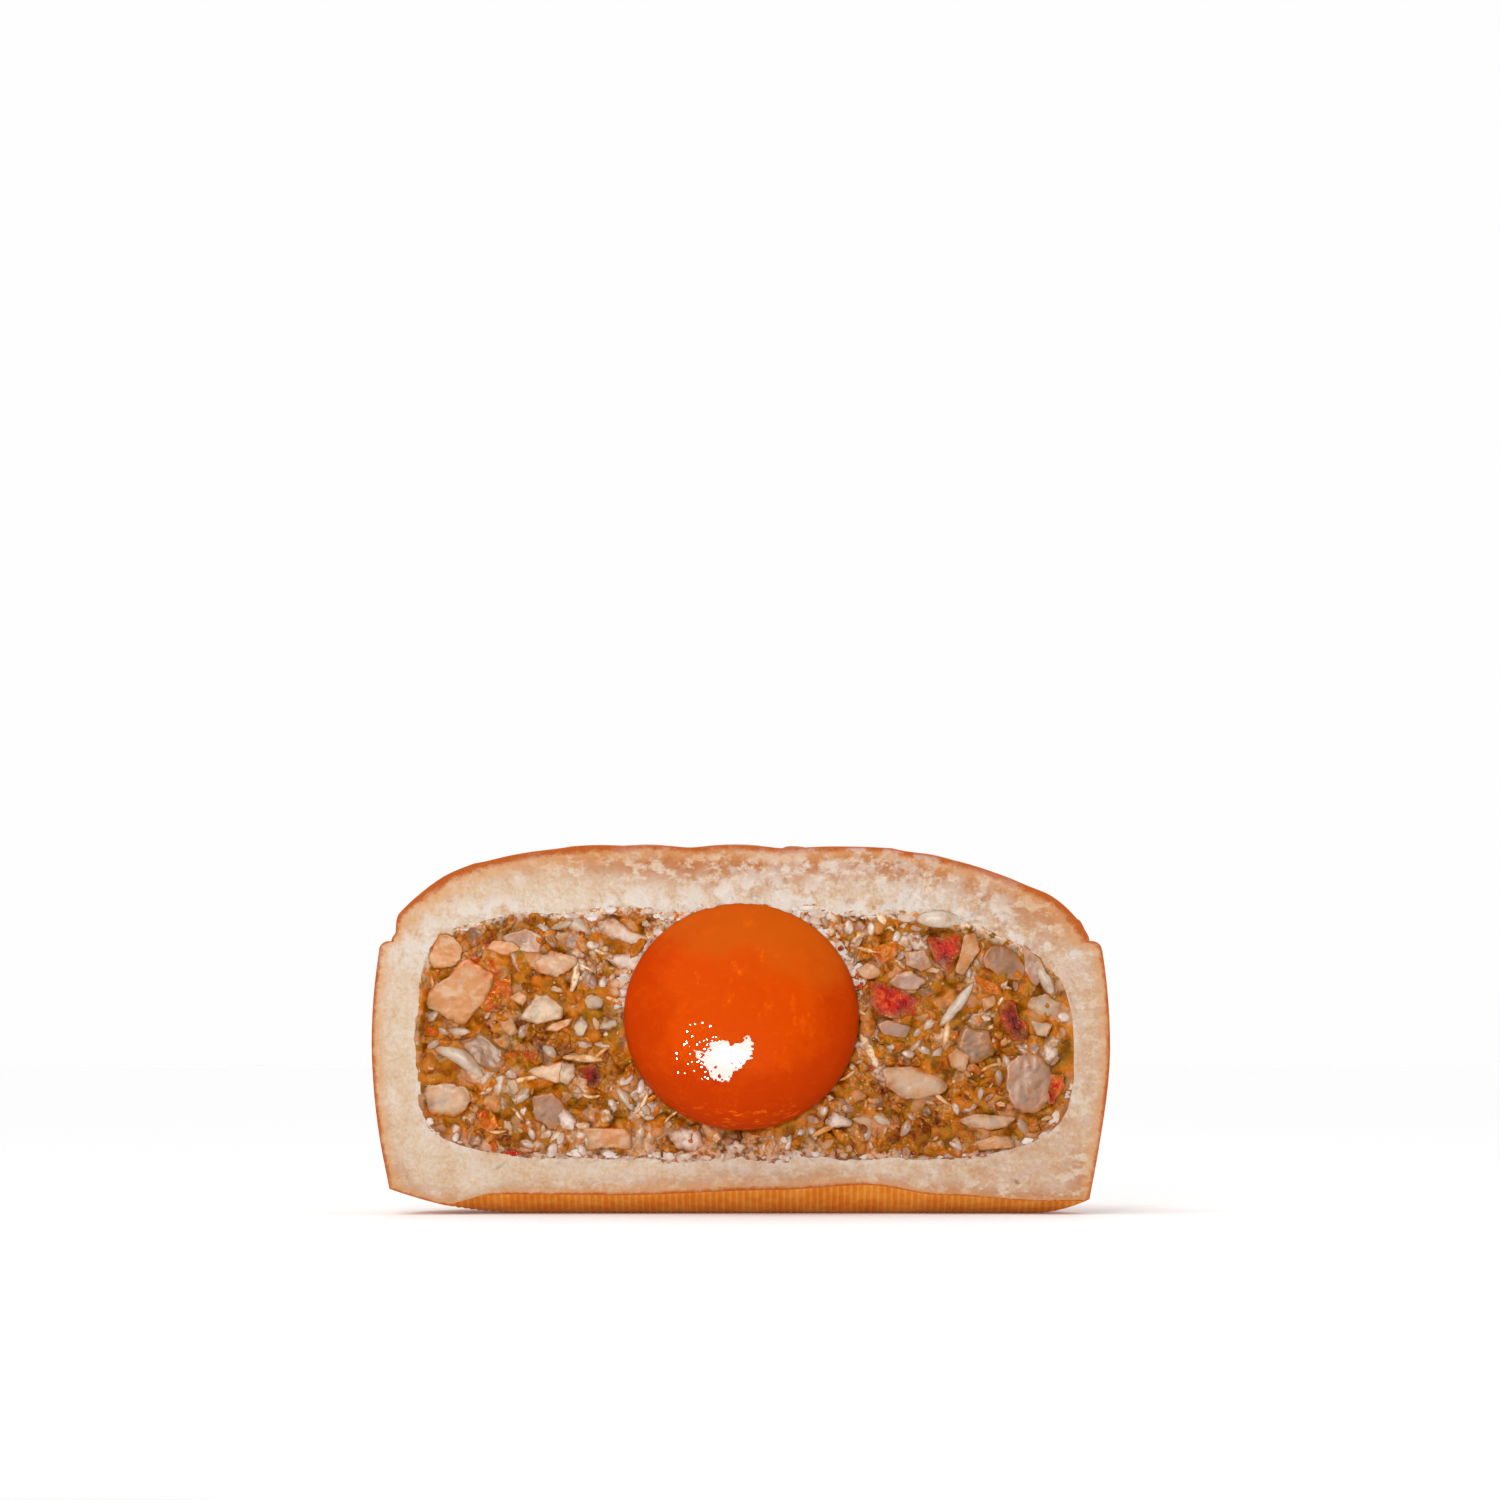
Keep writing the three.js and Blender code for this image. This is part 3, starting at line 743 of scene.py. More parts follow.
@dataclass(frozen=True)
class MorselFinish:
    """Finish of one kind of piece in the filling.

    Attributes:
        name: Name of the material.
        slot: The record's slot that it belongs to.
        colours: Its colours, spread over the pieces and their patches.
        roughness: Roughness of the surface.
        glow: How much light passes in and out again.
        reach: How far that light travels, in millimetres.
        grain: Its fine relief.
        edge: Colour of a skin that is left on some sides, if any.
        coated: How much the paste covers it.
        lined: How dark the paste is along its outline.
        shine: Tint of its reflections.
        patchy: How far its colour wanders over one piece.
    """

    name: str
    slot: str
    colours: tuple[Colour, ...]
    roughness: float = 0.4
    glow: float = 0.3
    reach: float = 1.0
    grain: Relief = (0.5, 0.05)
    edge: Colour | None = None
    coated: float = 0.6
    lined: float = 0.35
    shine: Colour = PasteFinish.shine
    patchy: float = 0.34

    def build(self) -> Material:
        """Make the material.

        Returns:
            The material.
        """
        graph = Graph(self.name)
        level = graph.sum(graph.value("tint"), graph.wander(self.patchy, 2.0, 4, 0.62))
        places = np.linspace(0.05, 0.95, len(self.colours))
        colour = graph.ramp(level, places, self.colours)
        if self.edge is not None:
            colour = graph.mix(graph.span(graph.value("edge"), 0.25, 0.85), colour, self.edge)
        paste = PasteFinish()
        bare = 0.24 * self.coated
        film = graph.span(graph.noise(1.4, 5, 0.7), 0.64 - bare, 0.72 - bare)
        colour = graph.mix(graph.times(film, min(1.2 * self.coated, 1)), colour, paste.colours(graph))
        glaze = graph.times(graph.value("glaze"), graph.span(graph.noise(0.7, 3), 0.35, 0.6, 0.3, 0.85))
        colour = graph.mix(glaze, colour, graph.mix(self.lined, paste.colours(graph), paste.umber))
        graph.glow(self.glow, self.reach, 0.6, 0.35)
        return graph.finish(
            colour, self.roughness, graph.grain(*self.grain),
            Specular_IOR_Level=0.5, Specular_Tint=self.shine,
        )


# Shape of the cake


@dataclass(frozen=True)
class Curl:
    """A wave that rolls into a curl.

    Attributes:
        eye: Middle of the curl, seen from above.
        tail: Direction in which the far end runs off, in degrees.
        hand: 1 if it rolls to the left, -1 if to the right.
        length: Length along its middle line.
        roll: Bend at the eye, 1 over a radius.
        tip: Half width at the eye.
        base: Half width at the tail.
        height: Height above the ground.
        steps: Points along it.
        ease: How soon the bend dies out along it.
        counter_roll: Bend the other way at its tail.
    """

    eye: Pair
    tail: float
    hand: int
    length: float
    roll: float
    tip: float
    base: float
    height: float

    steps: int = 260
    ease: float = 2.5
    counter_roll: float = 0.012

    def discs(self) -> Array:
        """Follow the curl from its eye.

        Returns:
            Rows of x, y, half width and height.
        """
        along = np.linspace(0, 1, self.steps)
        step = self.length / (self.steps - 1)
        bend = self.hand * (self.roll * (1 - along) ** self.ease - self.counter_roll)
        turn = np.concatenate([[0], np.cumsum((bend[1:] + bend[:-1]) / 2 * step)])
        heading = math.radians(self.tail) - turn[-1] + (turn[1:] + turn[:-1]) / 2
        x = self.eye[0] + np.concatenate([[0], np.cumsum(np.cos(heading) * step)])
        y = self.eye[1] + np.concatenate([[0], np.cumsum(np.sin(heading) * step)])
        return rows_of(x, y, lerp(self.tip, self.base, along), np.full(self.steps, self.height))


@dataclass(frozen=True)
class Ridges:
    """Side-by-side ridges on arcs about one centre, which run round between angles in degrees.

    Each begins later and ends sooner than the last by the stagger.
    """

    centre: Pair
    radius: float
    step: float
    count: int
    start: float
    sweep: float
    height: float

    steps: int = 160
    half_width: float = 1.15
    stagger: float = 2.5
    tip: float = 0.35
    taper: float = 0.4

    def discs(self) -> Array:
        """Follow each ridge.

        Returns:
            Rows of x, y, half width and height.
        """
        rows = []
        for ridge in range(self.count):
            along = np.linspace(0, 1, self.steps)
            late = self.stagger * ridge
            angle = np.radians(self.start + late + (self.sweep - 2 * late) * along)
            swell = np.sin(math.pi * np.clip(along, 0.01, 0.99)) ** self.taper
            distance = self.radius + ridge * self.step
            x = self.centre[0] + distance * np.cos(angle)
            y = self.centre[1] + distance * np.sin(angle)
            rows.append(rows_of(x, y, self.half_width * lerp(self.tip, 1, swell), self.height * swell))
        return np.concatenate(rows)


@dataclass
class MouldedPicture:
    """The picture of waves on top of the cake, kept as a map of heights."""

    curls: tuple[Curl, ...] = (
        Curl((-28.5, 12.5), -104, 1, 38, 0.5, 2.6, 7.8, 1.9),
        Curl((-4, 15.5), -98, 1, 40, 0.48, 2.8, 7.6, 1.9),
        Curl((15.5, 12.5), -74, -1, 38, 0.48, 2.7, 7.8, 1.9),
        Curl((-16, 28), 168, -1, 40, 0.5, 2.5, 5.2, 1.8),
        Curl((10.5, 28.5), 78, -1, 38, 0.5, 2.5, 5.4, 1.8),
        Curl((30, 23.5), 72, 1, 32, 0.52, 2.3, 4.4, 1.7),
        Curl((-37.6, 12.5), -100, 1, 24, 0.66, 1.7, 3, 1.5),
        Curl((-18, 9), -100, -1, 20, 0.8, 1.9, 5.6, 1.8),
        Curl((6, 10.5), -100, 1, 20, 0.8, 1.8, 5.6, 1.8),
        Curl((32, 10), -92, -1, 20, 0.8, 1.7, 2.7, 1.4),
        Curl((-4, 34), 150, -1, 20, 0.8, 1.7, 2.9, 1.6),
        Curl((20.5, 35.5), 36, 1, 14, 0.8, 1.5, 2.4, 1.5),
        Curl((-28, 25), 200, 1, 18, 0.84, 1.6, 2.6, 1.5),
    )
    ridges: tuple[Ridges, ...] = (
        Ridges((-1, 32), 6, 2.3, 4, 200, 120, 1.0),
        Ridges((18, 25.5), 3.6, 2.2, 3, 190, 130, 0.9),
        Ridges((12, -8), 8.6, 2.3, 3, 40, 100, 1.1),
        Ridges((-24.5, -6), 6.6, 2.3, 3, 40, 100, 1.1),
        Ridges((0, 0), 39.4, -2.2, 3, 98, 24, 1.2),
        Ridges((0, 0), 39.4, -2.2, 4, 34, 24, 1.2),
        Ridges((0, 0), 39.4, -2.2, 3, 10, 16, 1.2),
        Ridges((0, 0), 39.4, -2.2, 3, 136, 14, 1.2),
    )
    pillow: float = 1.35
    half_width: float = 44.0
    pitch: float = 0.1
    softness: float = 0.22
    broad_softness: float = 1.4

    def __post_init__(self) -> None:
        """Draw the map of heights, and soften it as dough does."""
        across = np.arange(-self.half_width, self.half_width, self.pitch)
        back = np.arange(-2, self.half_width, self.pitch)
        self.corner = (across[0], back[0])
        grid_x, grid_y = np.meshgrid(across, back)
        heights = np.zeros_like(grid_x)
        for x, y, half, height in np.concatenate([stroke.discs() for stroke in self.curls + self.ridges]):
            columns = slice(*np.searchsorted(across, (x - half, x + half)))
            rows = slice(*np.searchsorted(back, (y - half, y + half)))
            away = ((grid_x[rows, columns] - x) ** 2 + (grid_y[rows, columns] - y) ** 2) / half**2
            dome = height * np.sqrt(np.clip(1 - away**self.pillow, 0, None))
            heights[rows, columns] = np.maximum(heights[rows, columns], dome)
        self.heights = self.soften(heights, self.softness)
        self.broad = self.soften(heights, self.broad_softness)

    def soften(self, heights: Array, width: float) -> Array:
        """Blur a map of heights.

        Args:
            heights: The map.
            width: Width of the blur in millimetres.

        Returns:
            The blurred map.
        """
        steps = math.ceil(3 * width / self.pitch)
        reach = np.arange(-steps, steps + 1)
        bell = np.exp(-0.5 * (reach * self.pitch / width) ** 2)
        bell /= bell.sum()
        for axis in (0, 1):
            heights = np.apply_along_axis(lambda line: np.convolve(line, bell, mode="same"), axis, heights)
        return heights

    def sample(self, heights: Array, x: Array, y: Array) -> Array:
        """Read a map between its points.

        Args:
            heights: The map.
            x, y: Places seen from above.

        Returns:
            The heights there.
        """
        column = np.clip((x - self.corner[0]) / self.pitch, 0, heights.shape[1] - 1.001)
        row = np.clip((y - self.corner[1]) / self.pitch, 0, heights.shape[0] - 1.001)
        left, low = column.astype(int), row.astype(int)
        right_share, high_share = column - left, row - low
        near = lerp(heights[low, left], heights[low, left + 1], right_share)
        far = lerp(heights[low + 1, left], heights[low + 1, left + 1], right_share)
        return lerp(near, far, high_share)


@dataclass
class CakeForm:
    """Outline of the half cake, in millimetres."""

    radius: float = (CRUST_HIGH.x - CRUST_LOW.x) / 2 / MM
    foot_radius: float = 41.6
    foot_flat: Pair = (27.0, 35.4)
    foot_rise: Pair = (3.0, 1.9)
    foot_curve: float = 1.7
    wall_curve: float = 1.7
    bulge_height: float = 20.0
    shoulder_height: float = 31.4
    shoulder_radius: float = 43.1
    ledge_height: float = 32.5
    dome_radius: float = 41.6
    dome_rise: float = 9.8
    dome_curve: float = 3.0
    steepest_lean: float = 1.2
    picture_fade: Pair = (39.6, 41.3)
    cut_blend: float = 6.5
    cut_level: float = 1.4
    cut_edge_depth: float = 6.0
    cut_edge: tuple[Pair, ...] = (
        (-41.6, 0), (-36, 1), (-29, 2.4), (-14, 2.3), (4, 2.9), (15, 3.5), (24, 2.3), (36, 1.6), (44, 1.6),
    )
    crown: tuple[Pair, ...] = (
        (-41.6, -0.4), (-40.5, -1.8), (-37.5, -0.9), (-34.9, 0), (-31.5, 0.9), (-20, 0.9),
        (-14, 0.1), (-8, 0.2), (2, 0.1), (10, 0.5), (18, 0.7), (21, 0.1),
        (25, -0.6), (30, -1.1), (36, -1.3), (39.5, -1.8), (41.6, -0.4),
    )
    crown_fade: Pair = (3.0, 18.0)
    hollow_middle: float = 20.0
    hollow_reach: Pair = (38.3, 39.4)
    hollow_above: float = 16.3
    hollow_below: float = 13.5
    hollow_square: tuple[float, float, float] = (5.0, 5.5, 3.0)
    hollow_waves: tuple[Layer, ...] = ((0.45, 4.5, 11), (0.22, 1.6, 12), (0.14, 0.6, 13))
    hollow_wave_turn: float = 30.0
    hollow_torn_top: float = 1.1
    picture: MouldedPicture = field(default_factory=MouldedPicture)

    def foot(self, side: Array) -> tuple[Array, Array]:
        """Where the base leaves the table and how high the lower edge rises, from side -1 to 1."""
        right = (1 + side) / 2
        return lerp(*self.foot_flat, right), lerp(*self.foot_rise, right)

    def base_height(self, x: Array, y: Array) -> Array:
        """Height of the underside, which rises at its edge and along the cut.

        Args:
            x, y: Places seen from above.

        Returns:
            The heights.
        """
        away = np.hypot(x, y)
        flat, rise = self.foot(x / np.maximum(away, 1e-6))
        foot = rise * (np.clip(away - flat, 0, None) / (self.foot_radius - flat)) ** self.foot_curve
        places, heights = np.array(self.cut_edge).T
        after = np.clip(np.searchsorted(places, x), 1, len(places) - 1)
        share = climb(0, 1, (x - places[after - 1]) / (places[after] - places[after - 1]))
        edge = lerp(heights[after - 1], heights[after], share)
        return np.maximum(foot, edge * np.clip(1 - y / self.cut_edge_depth, 0, None) ** 2)

    def wall_radius(self, height: Array) -> Array:
        """Radius of the side wall at a height.

        Args:
            height: Height above the table.

        Returns:
            The radius.
        """
        mean_rise = sum(self.foot_rise) / 2
        down = np.clip((self.bulge_height - height) / (self.bulge_height - mean_rise), 0, None)
        up = np.clip((height - self.bulge_height) / (self.shoulder_height - self.bulge_height), 0, None)
        low = (self.radius - self.foot_radius) * down**self.wall_curve
        return self.radius - low - (self.radius - self.shoulder_radius) * up**2

    def dome(self, x: Array, y: Array) -> tuple[Array, Array]:
        """Shape the top, with the moulded picture raised square to it.

        Args:
            x, y: Places seen from above, before the picture is raised.

        Returns:
            The raised points, and the picture's height at each.
        """
        away = np.hypot(x, y)
        share = np.clip(away / self.dome_radius, 0, 1)
        level = np.sqrt(1 - share**self.dome_curve)
        slope = self.dome_rise * self.dome_curve / 2 / self.dome_radius * share ** (self.dome_curve - 1)
        lean = np.minimum(np.arctan(slope / np.maximum(level, 1e-3)), self.steepest_lean)
        relief = self.picture.sample(self.picture.heights, x, y)
        broad = self.picture.sample(self.picture.broad, x, y)
        pressed = fade(0, self.cut_blend, y)
        relief = lerp(relief, 0.5 * (broad + self.cut_level), pressed) * fade(*self.picture_fade, away)
        outward = 1 + relief * np.sin(lean) / np.maximum(away, 1)
        settled = np.interp(x, *np.array(self.crown).T) * fade(*self.crown_fade, y)
        height = self.ledge_height + np.maximum(self.dome_rise * level + relief * np.cos(lean) + settled, 0)
        return rows_of(x * outward, y * outward, height), relief

    def hollow(self, angle: Array) -> Array:
        """Distance from the hollow's middle to its edge in the cut.

        Args:
            angle: Directions in radians.

        Returns:
            The distances.
        """
        right, up = np.cos(angle), np.sin(angle)
        reach = np.where(right > 0, self.hollow_reach[1], self.hollow_reach[0])
        rise = np.where(up > 0, self.hollow_above, self.hollow_below)
        below, left_square, right_square = self.hollow_square
        square = np.where(up < 0, below, np.where(right > 0, right_square, left_square))
        edge = ((np.abs(right) / reach) ** square + (np.abs(up) / rise) ** square) ** (-1 / square)
        uneven = layered(rows_of(right, up) * self.hollow_wave_turn, *self.hollow_waves)
        return edge + uneven * (1 + self.hollow_torn_top * climb(0.1, 0.6, up))


@dataclass
class Crust:
    """The baked crust: its skin, the crumb that shows in the cut, and the hollow for the filling."""

    form: CakeForm
    columns: int = 431
    base_rows: int = 20
    wall_rows: int = 16
    ledge_rows: int = 6
    dome_rows: int = 108
    cut_rows: int = 24
    hollow_rows: int = 8
    rib_pitch: float = 0.8
    rib_depth: float = 0.14
    rib_fade: Pair = (30.0, 38.0)
    inset: float = 0.06
    wall_waves: Layer = (0.1, 9, 21)
    ledge_depth: float = 0.8
    # Browning and painted shade under the top, painted shade to the right, and browning low down near the
    # skin
    top_warmth: float = 1.1
    top_bake: Pair = (1.0, 7.5)
    side_warmth: float = 0.35
    low_warmth: float = 0.5
    skin_band: tuple[Pair, ...] = (
        (-41, 0), (-36, 0.9), (-16, 0.8), (-11, 0.3), (18, 0.3), (26, 0.6), (40, 0.8), (43.5, 0),
    )
    crumb_waves: tuple[Layer, ...] = ((0.14, 5, 31), (0.09, 1.7, 32), (0.05, 0.6, 34))
    pit_gap: float = 2.8
    pit_depth: float = 0.35
    pit_edge: Pair = (0.12, 0.4)
    pit_share: float = 0.15
    clump_gap: float = 1.3
    clump_height: float = 0.3
    clump_reach: float = 0.8
    clump_share: float = 0.65
    floury_rise: Pair = (27, 33)
    floury_reach: Pair = (0.3, 5.5)
    border_reach: Pair = (0.2, 1.6)
    flour_patches: tuple[Layer, ...] = ((0.45, 6, 37), (0.2, 2.2, 38))

    def skin(self) -> tuple[Array, Array]:
        """Shape the outside, row by row from the cut under the base, round, and back over the top.

        Returns:
            A grid of points, and how brown each is, from 0 to 1.
        """
        form = self.form
        turn = np.linspace(0, math.pi, self.columns)
        side, away = np.cos(turn), np.sin(turn)
        side[-1], away[-1] = -1, 0
        rise = form.foot(side)[1]
        points, browns = [], []

        foot = form.wall_radius(rise)
        for share in np.linspace(0, 1, self.base_rows) ** 1.7:
            x, y = foot * side, share * foot * away
            rib = 0.5 - 0.5 * np.cos(math.tau * x / self.rib_pitch)
            rib = rib * fade(*self.rib_fade, np.hypot(x, y))
            height = form.base_height(x, y) + self.rib_depth * rib * climb(-0.3, 1.2, y)
            points.append(rows_of(x, y, height))
            # Browner between the ribs, as painted shade
            browns.append(0.52 - 0.2 * rib + 0.1 * rough(rows_of(x, y), 7, 24))
        for share in np.linspace(0, 1, self.wall_rows)[1:]:
            height = lerp(rise, form.shoulder_height, share)
            spot = rows_of(form.radius * turn, height)
            radius = form.wall_radius(height) + layered(spot, self.wall_waves) - self.inset
            points.append(rows_of(radius * side, radius * away, height))
            browns.append(0.7 + 0.07 * rough(spot, 6, 22) - 0.12 * climb(0.75, 1, share))
        gap = form.shoulder_radius - form.dome_radius
        for share in np.linspace(0, 1, self.ledge_rows):
            bend = math.pi / 2 * share
            radius = form.shoulder_radius - self.inset - gap * self.ledge_depth * (1 - math.cos(bend))
            height = lerp(form.shoulder_height, form.ledge_height, math.sin(bend))
            points.append(rows_of(radius * side, radius * away, height))
            browns.append(np.full_like(side, 0.5 - 0.1 * share))
        for share in 1 - np.linspace(0, 1, self.dome_rows) ** 1.3:
            x, y = form.dome_radius * side, form.dome_radius * share * away
            raised, relief = form.dome(x, y)
            broad = form.picture.sample(form.picture.broad, x, y)
            points.append(raised)
            browns.append(0.12 + 0.3 * relief + 0.16 * (relief - broad) + 0.1 * rough(rows_of(x, y), 5, 23))
        return np.stack(points), np.stack(browns)

    def crumb_height(self, place: Array, depth: Array, left: Array) -> tuple[Array, Array]:
        """Roughen the cut face of the crust.

        Args:
            place: Points in the cut, across and up.
            depth: Distance of each from the skin.
            left: Distance of each from the filling.

        Returns:
            How far each point stands out of the cut, and how floury it is.
        """
        wave = layered(place, *self.crumb_waves)
        pit, kind = nearest_cell(place, self.pit_gap, 35)
        wave -= self.pit_depth * fade(*self.pit_edge, pit) * (kind < self.pit_share)
        clump, size = nearest_cell(place, self.clump_gap, 36)
        near_top = climb(*self.floury_rise, place[..., 1])
        inward = fade(*self.floury_reach, left)
        border = fade(*self.border_reach, left)
        patchy = layered(place, *self.flour_patches)
        flour = inward * (0.05 + 1.05 * near_top) + 0.4 * border + patchy * (0.1 + 1.2 * near_top)
        flour = np.clip(flour, 0, 1)
        bulge = np.sqrt(np.clip(1 - clump / self.clump_reach, 0, None))
        wave += self.clump_height * flour * bulge * (size > 1 - self.clump_share)
        return wave * climb(0, 0.5, depth), flour

    def build(self) -> Piece:
        """Make the crust as one closed mesh.

        Returns:
            The crust.
        """
        draft = Draft()
        skin, brown = self.skin()
        rows, columns = brown.shape
        faces = grid_faces(rows, columns)
        under = (self.base_rows - 1) * (columns - 1)
        number = draft.add(
            skin.reshape(-1, 3), faces[under:], brown=brown.ravel(), skin_depth=0, flour=0, warm=0
        ).reshape(rows, columns)
        draft.join(faces[:under], 2)
        base_end = self.base_rows - 1
        dome_start = rows - self.dome_rows
        loop = np.concatenate([
            number[-1, :-1], number[dome_start - 1:base_end:-1, -1],
            number[0, :0:-1], number[base_end + 1:dome_start, 0],
        ])
        rim = skin.reshape(-1, 3)[loop][:, [0, 2]]
        middle = np.array([0, self.form.hollow_middle])
        angle = np.arctan2(*(rim - middle).T[::-1])
        ray = rays(angle)
        inner = middle + ray * self.form.hollow(angle)[:, None]
        span = np.linalg.norm(rim - inner, axis=-1)
        for share in np.linspace(0, 1, self.cut_rows)[1:]:
            place = lerp(rim, inner, share)
            stand, flour = self.crumb_height(place, span * share, span * (1 - share))
            thicker = np.interp(place[:, 0], *np.array(self.skin_band).T) * climb(30, 34, rim[:, 1])
            after = draft.add(
                rows_of(place[:, 0], -stand, place[:, 1]), brown=0, flour=flour,
                skin_depth=(span * share - 0.5 * thicker) / (1 + thicker), warm=self.warm(rim, span, share),
            )
            draft.join(band(loop, after), 1)
            loop = after
        inside = {"brown": 0, "skin_depth": 6, "flour": 0, "warm": 0}
        for points in bowl(middle, inner - middle, self.hollow_rows, 0, self.form.hollow_reach[0]):
            after = draft.add(points, **inside)
            draft.join(band(loop, after), 1)
            loop = after
        tip = draft.add(np.array([[0, self.form.hollow_reach[0], middle[1]]]), **inside)
        draft.join(fan(loop, tip), 1)
        finishes = (SkinFinish(), CrumbFinish(), BaseFinish())
        return draft.mesh("crust_visual", [finish.build() for finish in finishes])

    def warm(self, rim: Array, span: Array, share: float) -> Array:
        """How far the crumb is browned near the skin and under the top, with painted shade under the top
        and to the right.

        Args:
            rim: Points of the skin at the cut.
            span: Distance from each of them to the filling.
            share: Share of that distance at which the crumb lies.

        Returns:
            The browning and painted shade, about 0 to 1.
        """
        x, z = rim.T
        depth = span * share
        near_skin = fade(0.5, 4.5, depth) if share < 1 else np.zeros(len(rim))
        stretch = climb(-40, -12, x) * (1 - 0.4 * climb(16, 34, x)) * climb(31, 38, z)
        top = self.top_warmth * stretch * fade(*self.top_bake, depth)
        # Painted shade, darker towards the right
        side = self.side_warmth * climb(12, 38, x)
        return self.low_warmth * near_skin * fade(5, 8, z) + (top + side)


@dataclass
class Yolk:
    """The whole yolk, uncut, bulging out of the filling."""

    centre: Pair = ((YOLK_LOW.x + YOLK_HIGH.x) / 2 / MM, (YOLK_LOW.z + YOLK_HIGH.z) / 2 / MM)
    half: Pair = ((YOLK_HIGH.x - YOLK_LOW.x) / 2 / MM, (YOLK_HIGH.z - YOLK_LOW.z) / 2 / MM)
    front: float = CUT_Y - YOLK_LOW.y / MM
    back: float = YOLK_HIGH.y / MM - CUT_Y
    sag: float = 0.75
    around: int = 240
    rows: int = 120
    wet_centre: Pair = (-1.6, 18.7)
    wet_outline: tuple[Pair, ...] = (
        (1.1, 21.3), (1.4, 19.9), (1.6, 19), (0.2, 17.5), (-0.7, 17.1), (-1.2, 15.9), (-2.3, 15.9),
        (-3.2, 16.2), (-4.1, 17.1), (-4.5, 18.1), (-5.6, 18.1), (-5.4, 19.6), (-4, 19.4),
        (-3.5, 20.2), (-2.3, 20.7), (-1.1, 20.3), (0.2, 20.4),
    )
    wet_half: float = 5.0
    wet_pitch: float = 0.08
    wet_flatness: float = 0.55
    wet_lift: float = 0.03
    ragged_across: tuple[Layer, ...] = ((0.3, 0.9, 53), (0.26, 0.35, 54))
    ragged_up: tuple[Layer, ...] = ((0.3, 0.9, 55), (0.26, 0.35, 56))
    tears: tuple[Layer, ...] = ((1.0, 0.5, 57), (0.6, 0.24, 58))
    torn_stretch: Pair = (-1.0, -5.5)
    torn_share: Pair = (0.95, 0.35)
    drops: int = 52
    drop_sides: int = 8
    drop_lift: float = 0.06
    drop_size: Pair = (0.015, 0.08)
    drop_away: Pair = (2.1, 3.8)
    drop_spread: Pair = (1.1, 0.9)
    drop_turn: Pair = (0.62, 1.36)

    def face(self, x: Array, z: Array) -> Array:
        """Place of the front surface, which bulges most below its middle.

        Args:
            x, z: Places in the cut, across and up.

        Returns:
            How far behind the cut it lies.
        """
        across, up = (x - self.centre[0]) / self.half[0], (z - self.centre[1]) / self.half[1]
        level = np.sqrt(np.clip(1 - across**2 - up**2, 0, None))
        lowest = (1 - math.sqrt(1 + 8 * self.sag**2)) / (4 * self.sag)
        fullest = math.sqrt(1 - lowest**2) * (1 - self.sag * lowest)
        uneven = 0.14 * (1 + rough(rows_of(x, z), 6, 51))
        return level * (uneven - self.front * (1 - self.sag * up) / fullest)

    def build(self) -> Piece:
        """Make the yolk, with a painted sheen towards its top and painted shade round its rim.

        Returns:
            The yolk.
        """
        turn = all_round(self.around)
        turn, rise = np.meshgrid(turn, np.linspace(0, math.pi, self.rows))
        direction = rows_of(np.cos(turn) * np.sin(rise), np.cos(rise), np.sin(turn) * np.sin(rise))
        direction = direction.reshape(-1, 3)
        x = self.centre[0] + self.half[0] * direction[:, 0]
        z = self.centre[1] + self.half[1] * direction[:, 2]
        y = np.where(direction[:, 1] > 0, self.back * direction[:, 1], self.face(x, z))
        draft = Draft()
        draft.add(
            rows_of(x, y, z), grid_faces(self.rows, self.around, wrap=True),
            # A painted sheen towards the top and right, and a clear middle whose fall towards the rim
            # paints shade
            haze=climb(0.1, 1.0, direction[:, 2] + 0.25 * direction[:, 0]),
            clear=fade(0.4, 0.95, np.hypot(direction[:, 0], direction[:, 2] - 0.12)),
            threads=0.05 + 0.5 * fade(-0.92, -0.66, direction[:, 2]),
        )
        return draft.mesh("yolk_visual", [YolkFinish().build()], crease=180)

    def wet_plane(self, x: Array, z: Array) -> Array:
        """Place of the plane that touches the yolk in the middle of the oil.

        Args:
            x, z: Places in the cut, across and up.

        Returns:
            How far behind the cut it lies.
        """
        steps = np.array([(0, 0), (0.5, 0), (-0.5, 0), (0, 0.5), (0, -0.5)])
        middle, right, left, above, below = self.face(*(steps + self.wet_centre).T)
        across, up = x - self.wet_centre[0], z - self.wet_centre[1]
        return middle + (right - left) * across + (above - below) * up

    def film(self, x: Array, z: Array) -> Array:
        """Place of the oil's surface, which is flatter than the yolk under it."""
        return lerp(self.face(x, z), self.wet_plane(x, z), self.wet_flatness) - self.wet_lift

    def is_wet(self, spot: Array) -> Array:
        """Find where the oil lies: inside its ragged outline, torn to the left.

        Args:
            spot: Points across and up.

        Returns:
            Whether each is wet.
        """
        x = spot[:, 0] + layered(spot, *self.ragged_across)
        z = spot[:, 1] + layered(spot, *self.ragged_up)
        inside = np.zeros(len(spot), bool)
        corners = np.array(self.wet_outline)
        for (x0, z0), (x1, z1) in zip(corners, np.roll(corners, -1, axis=0)):
            crosses = (z0 > z) != (z1 > z)
            inside ^= crosses & (x < x0 + (z - z0) * (x1 - x0) / (z1 - z0 + 1e-9))
        whole = lerp(*self.torn_share, climb(*self.torn_stretch, spot[:, 0]))
        return inside & (layered(spot, *self.tears) < whole)

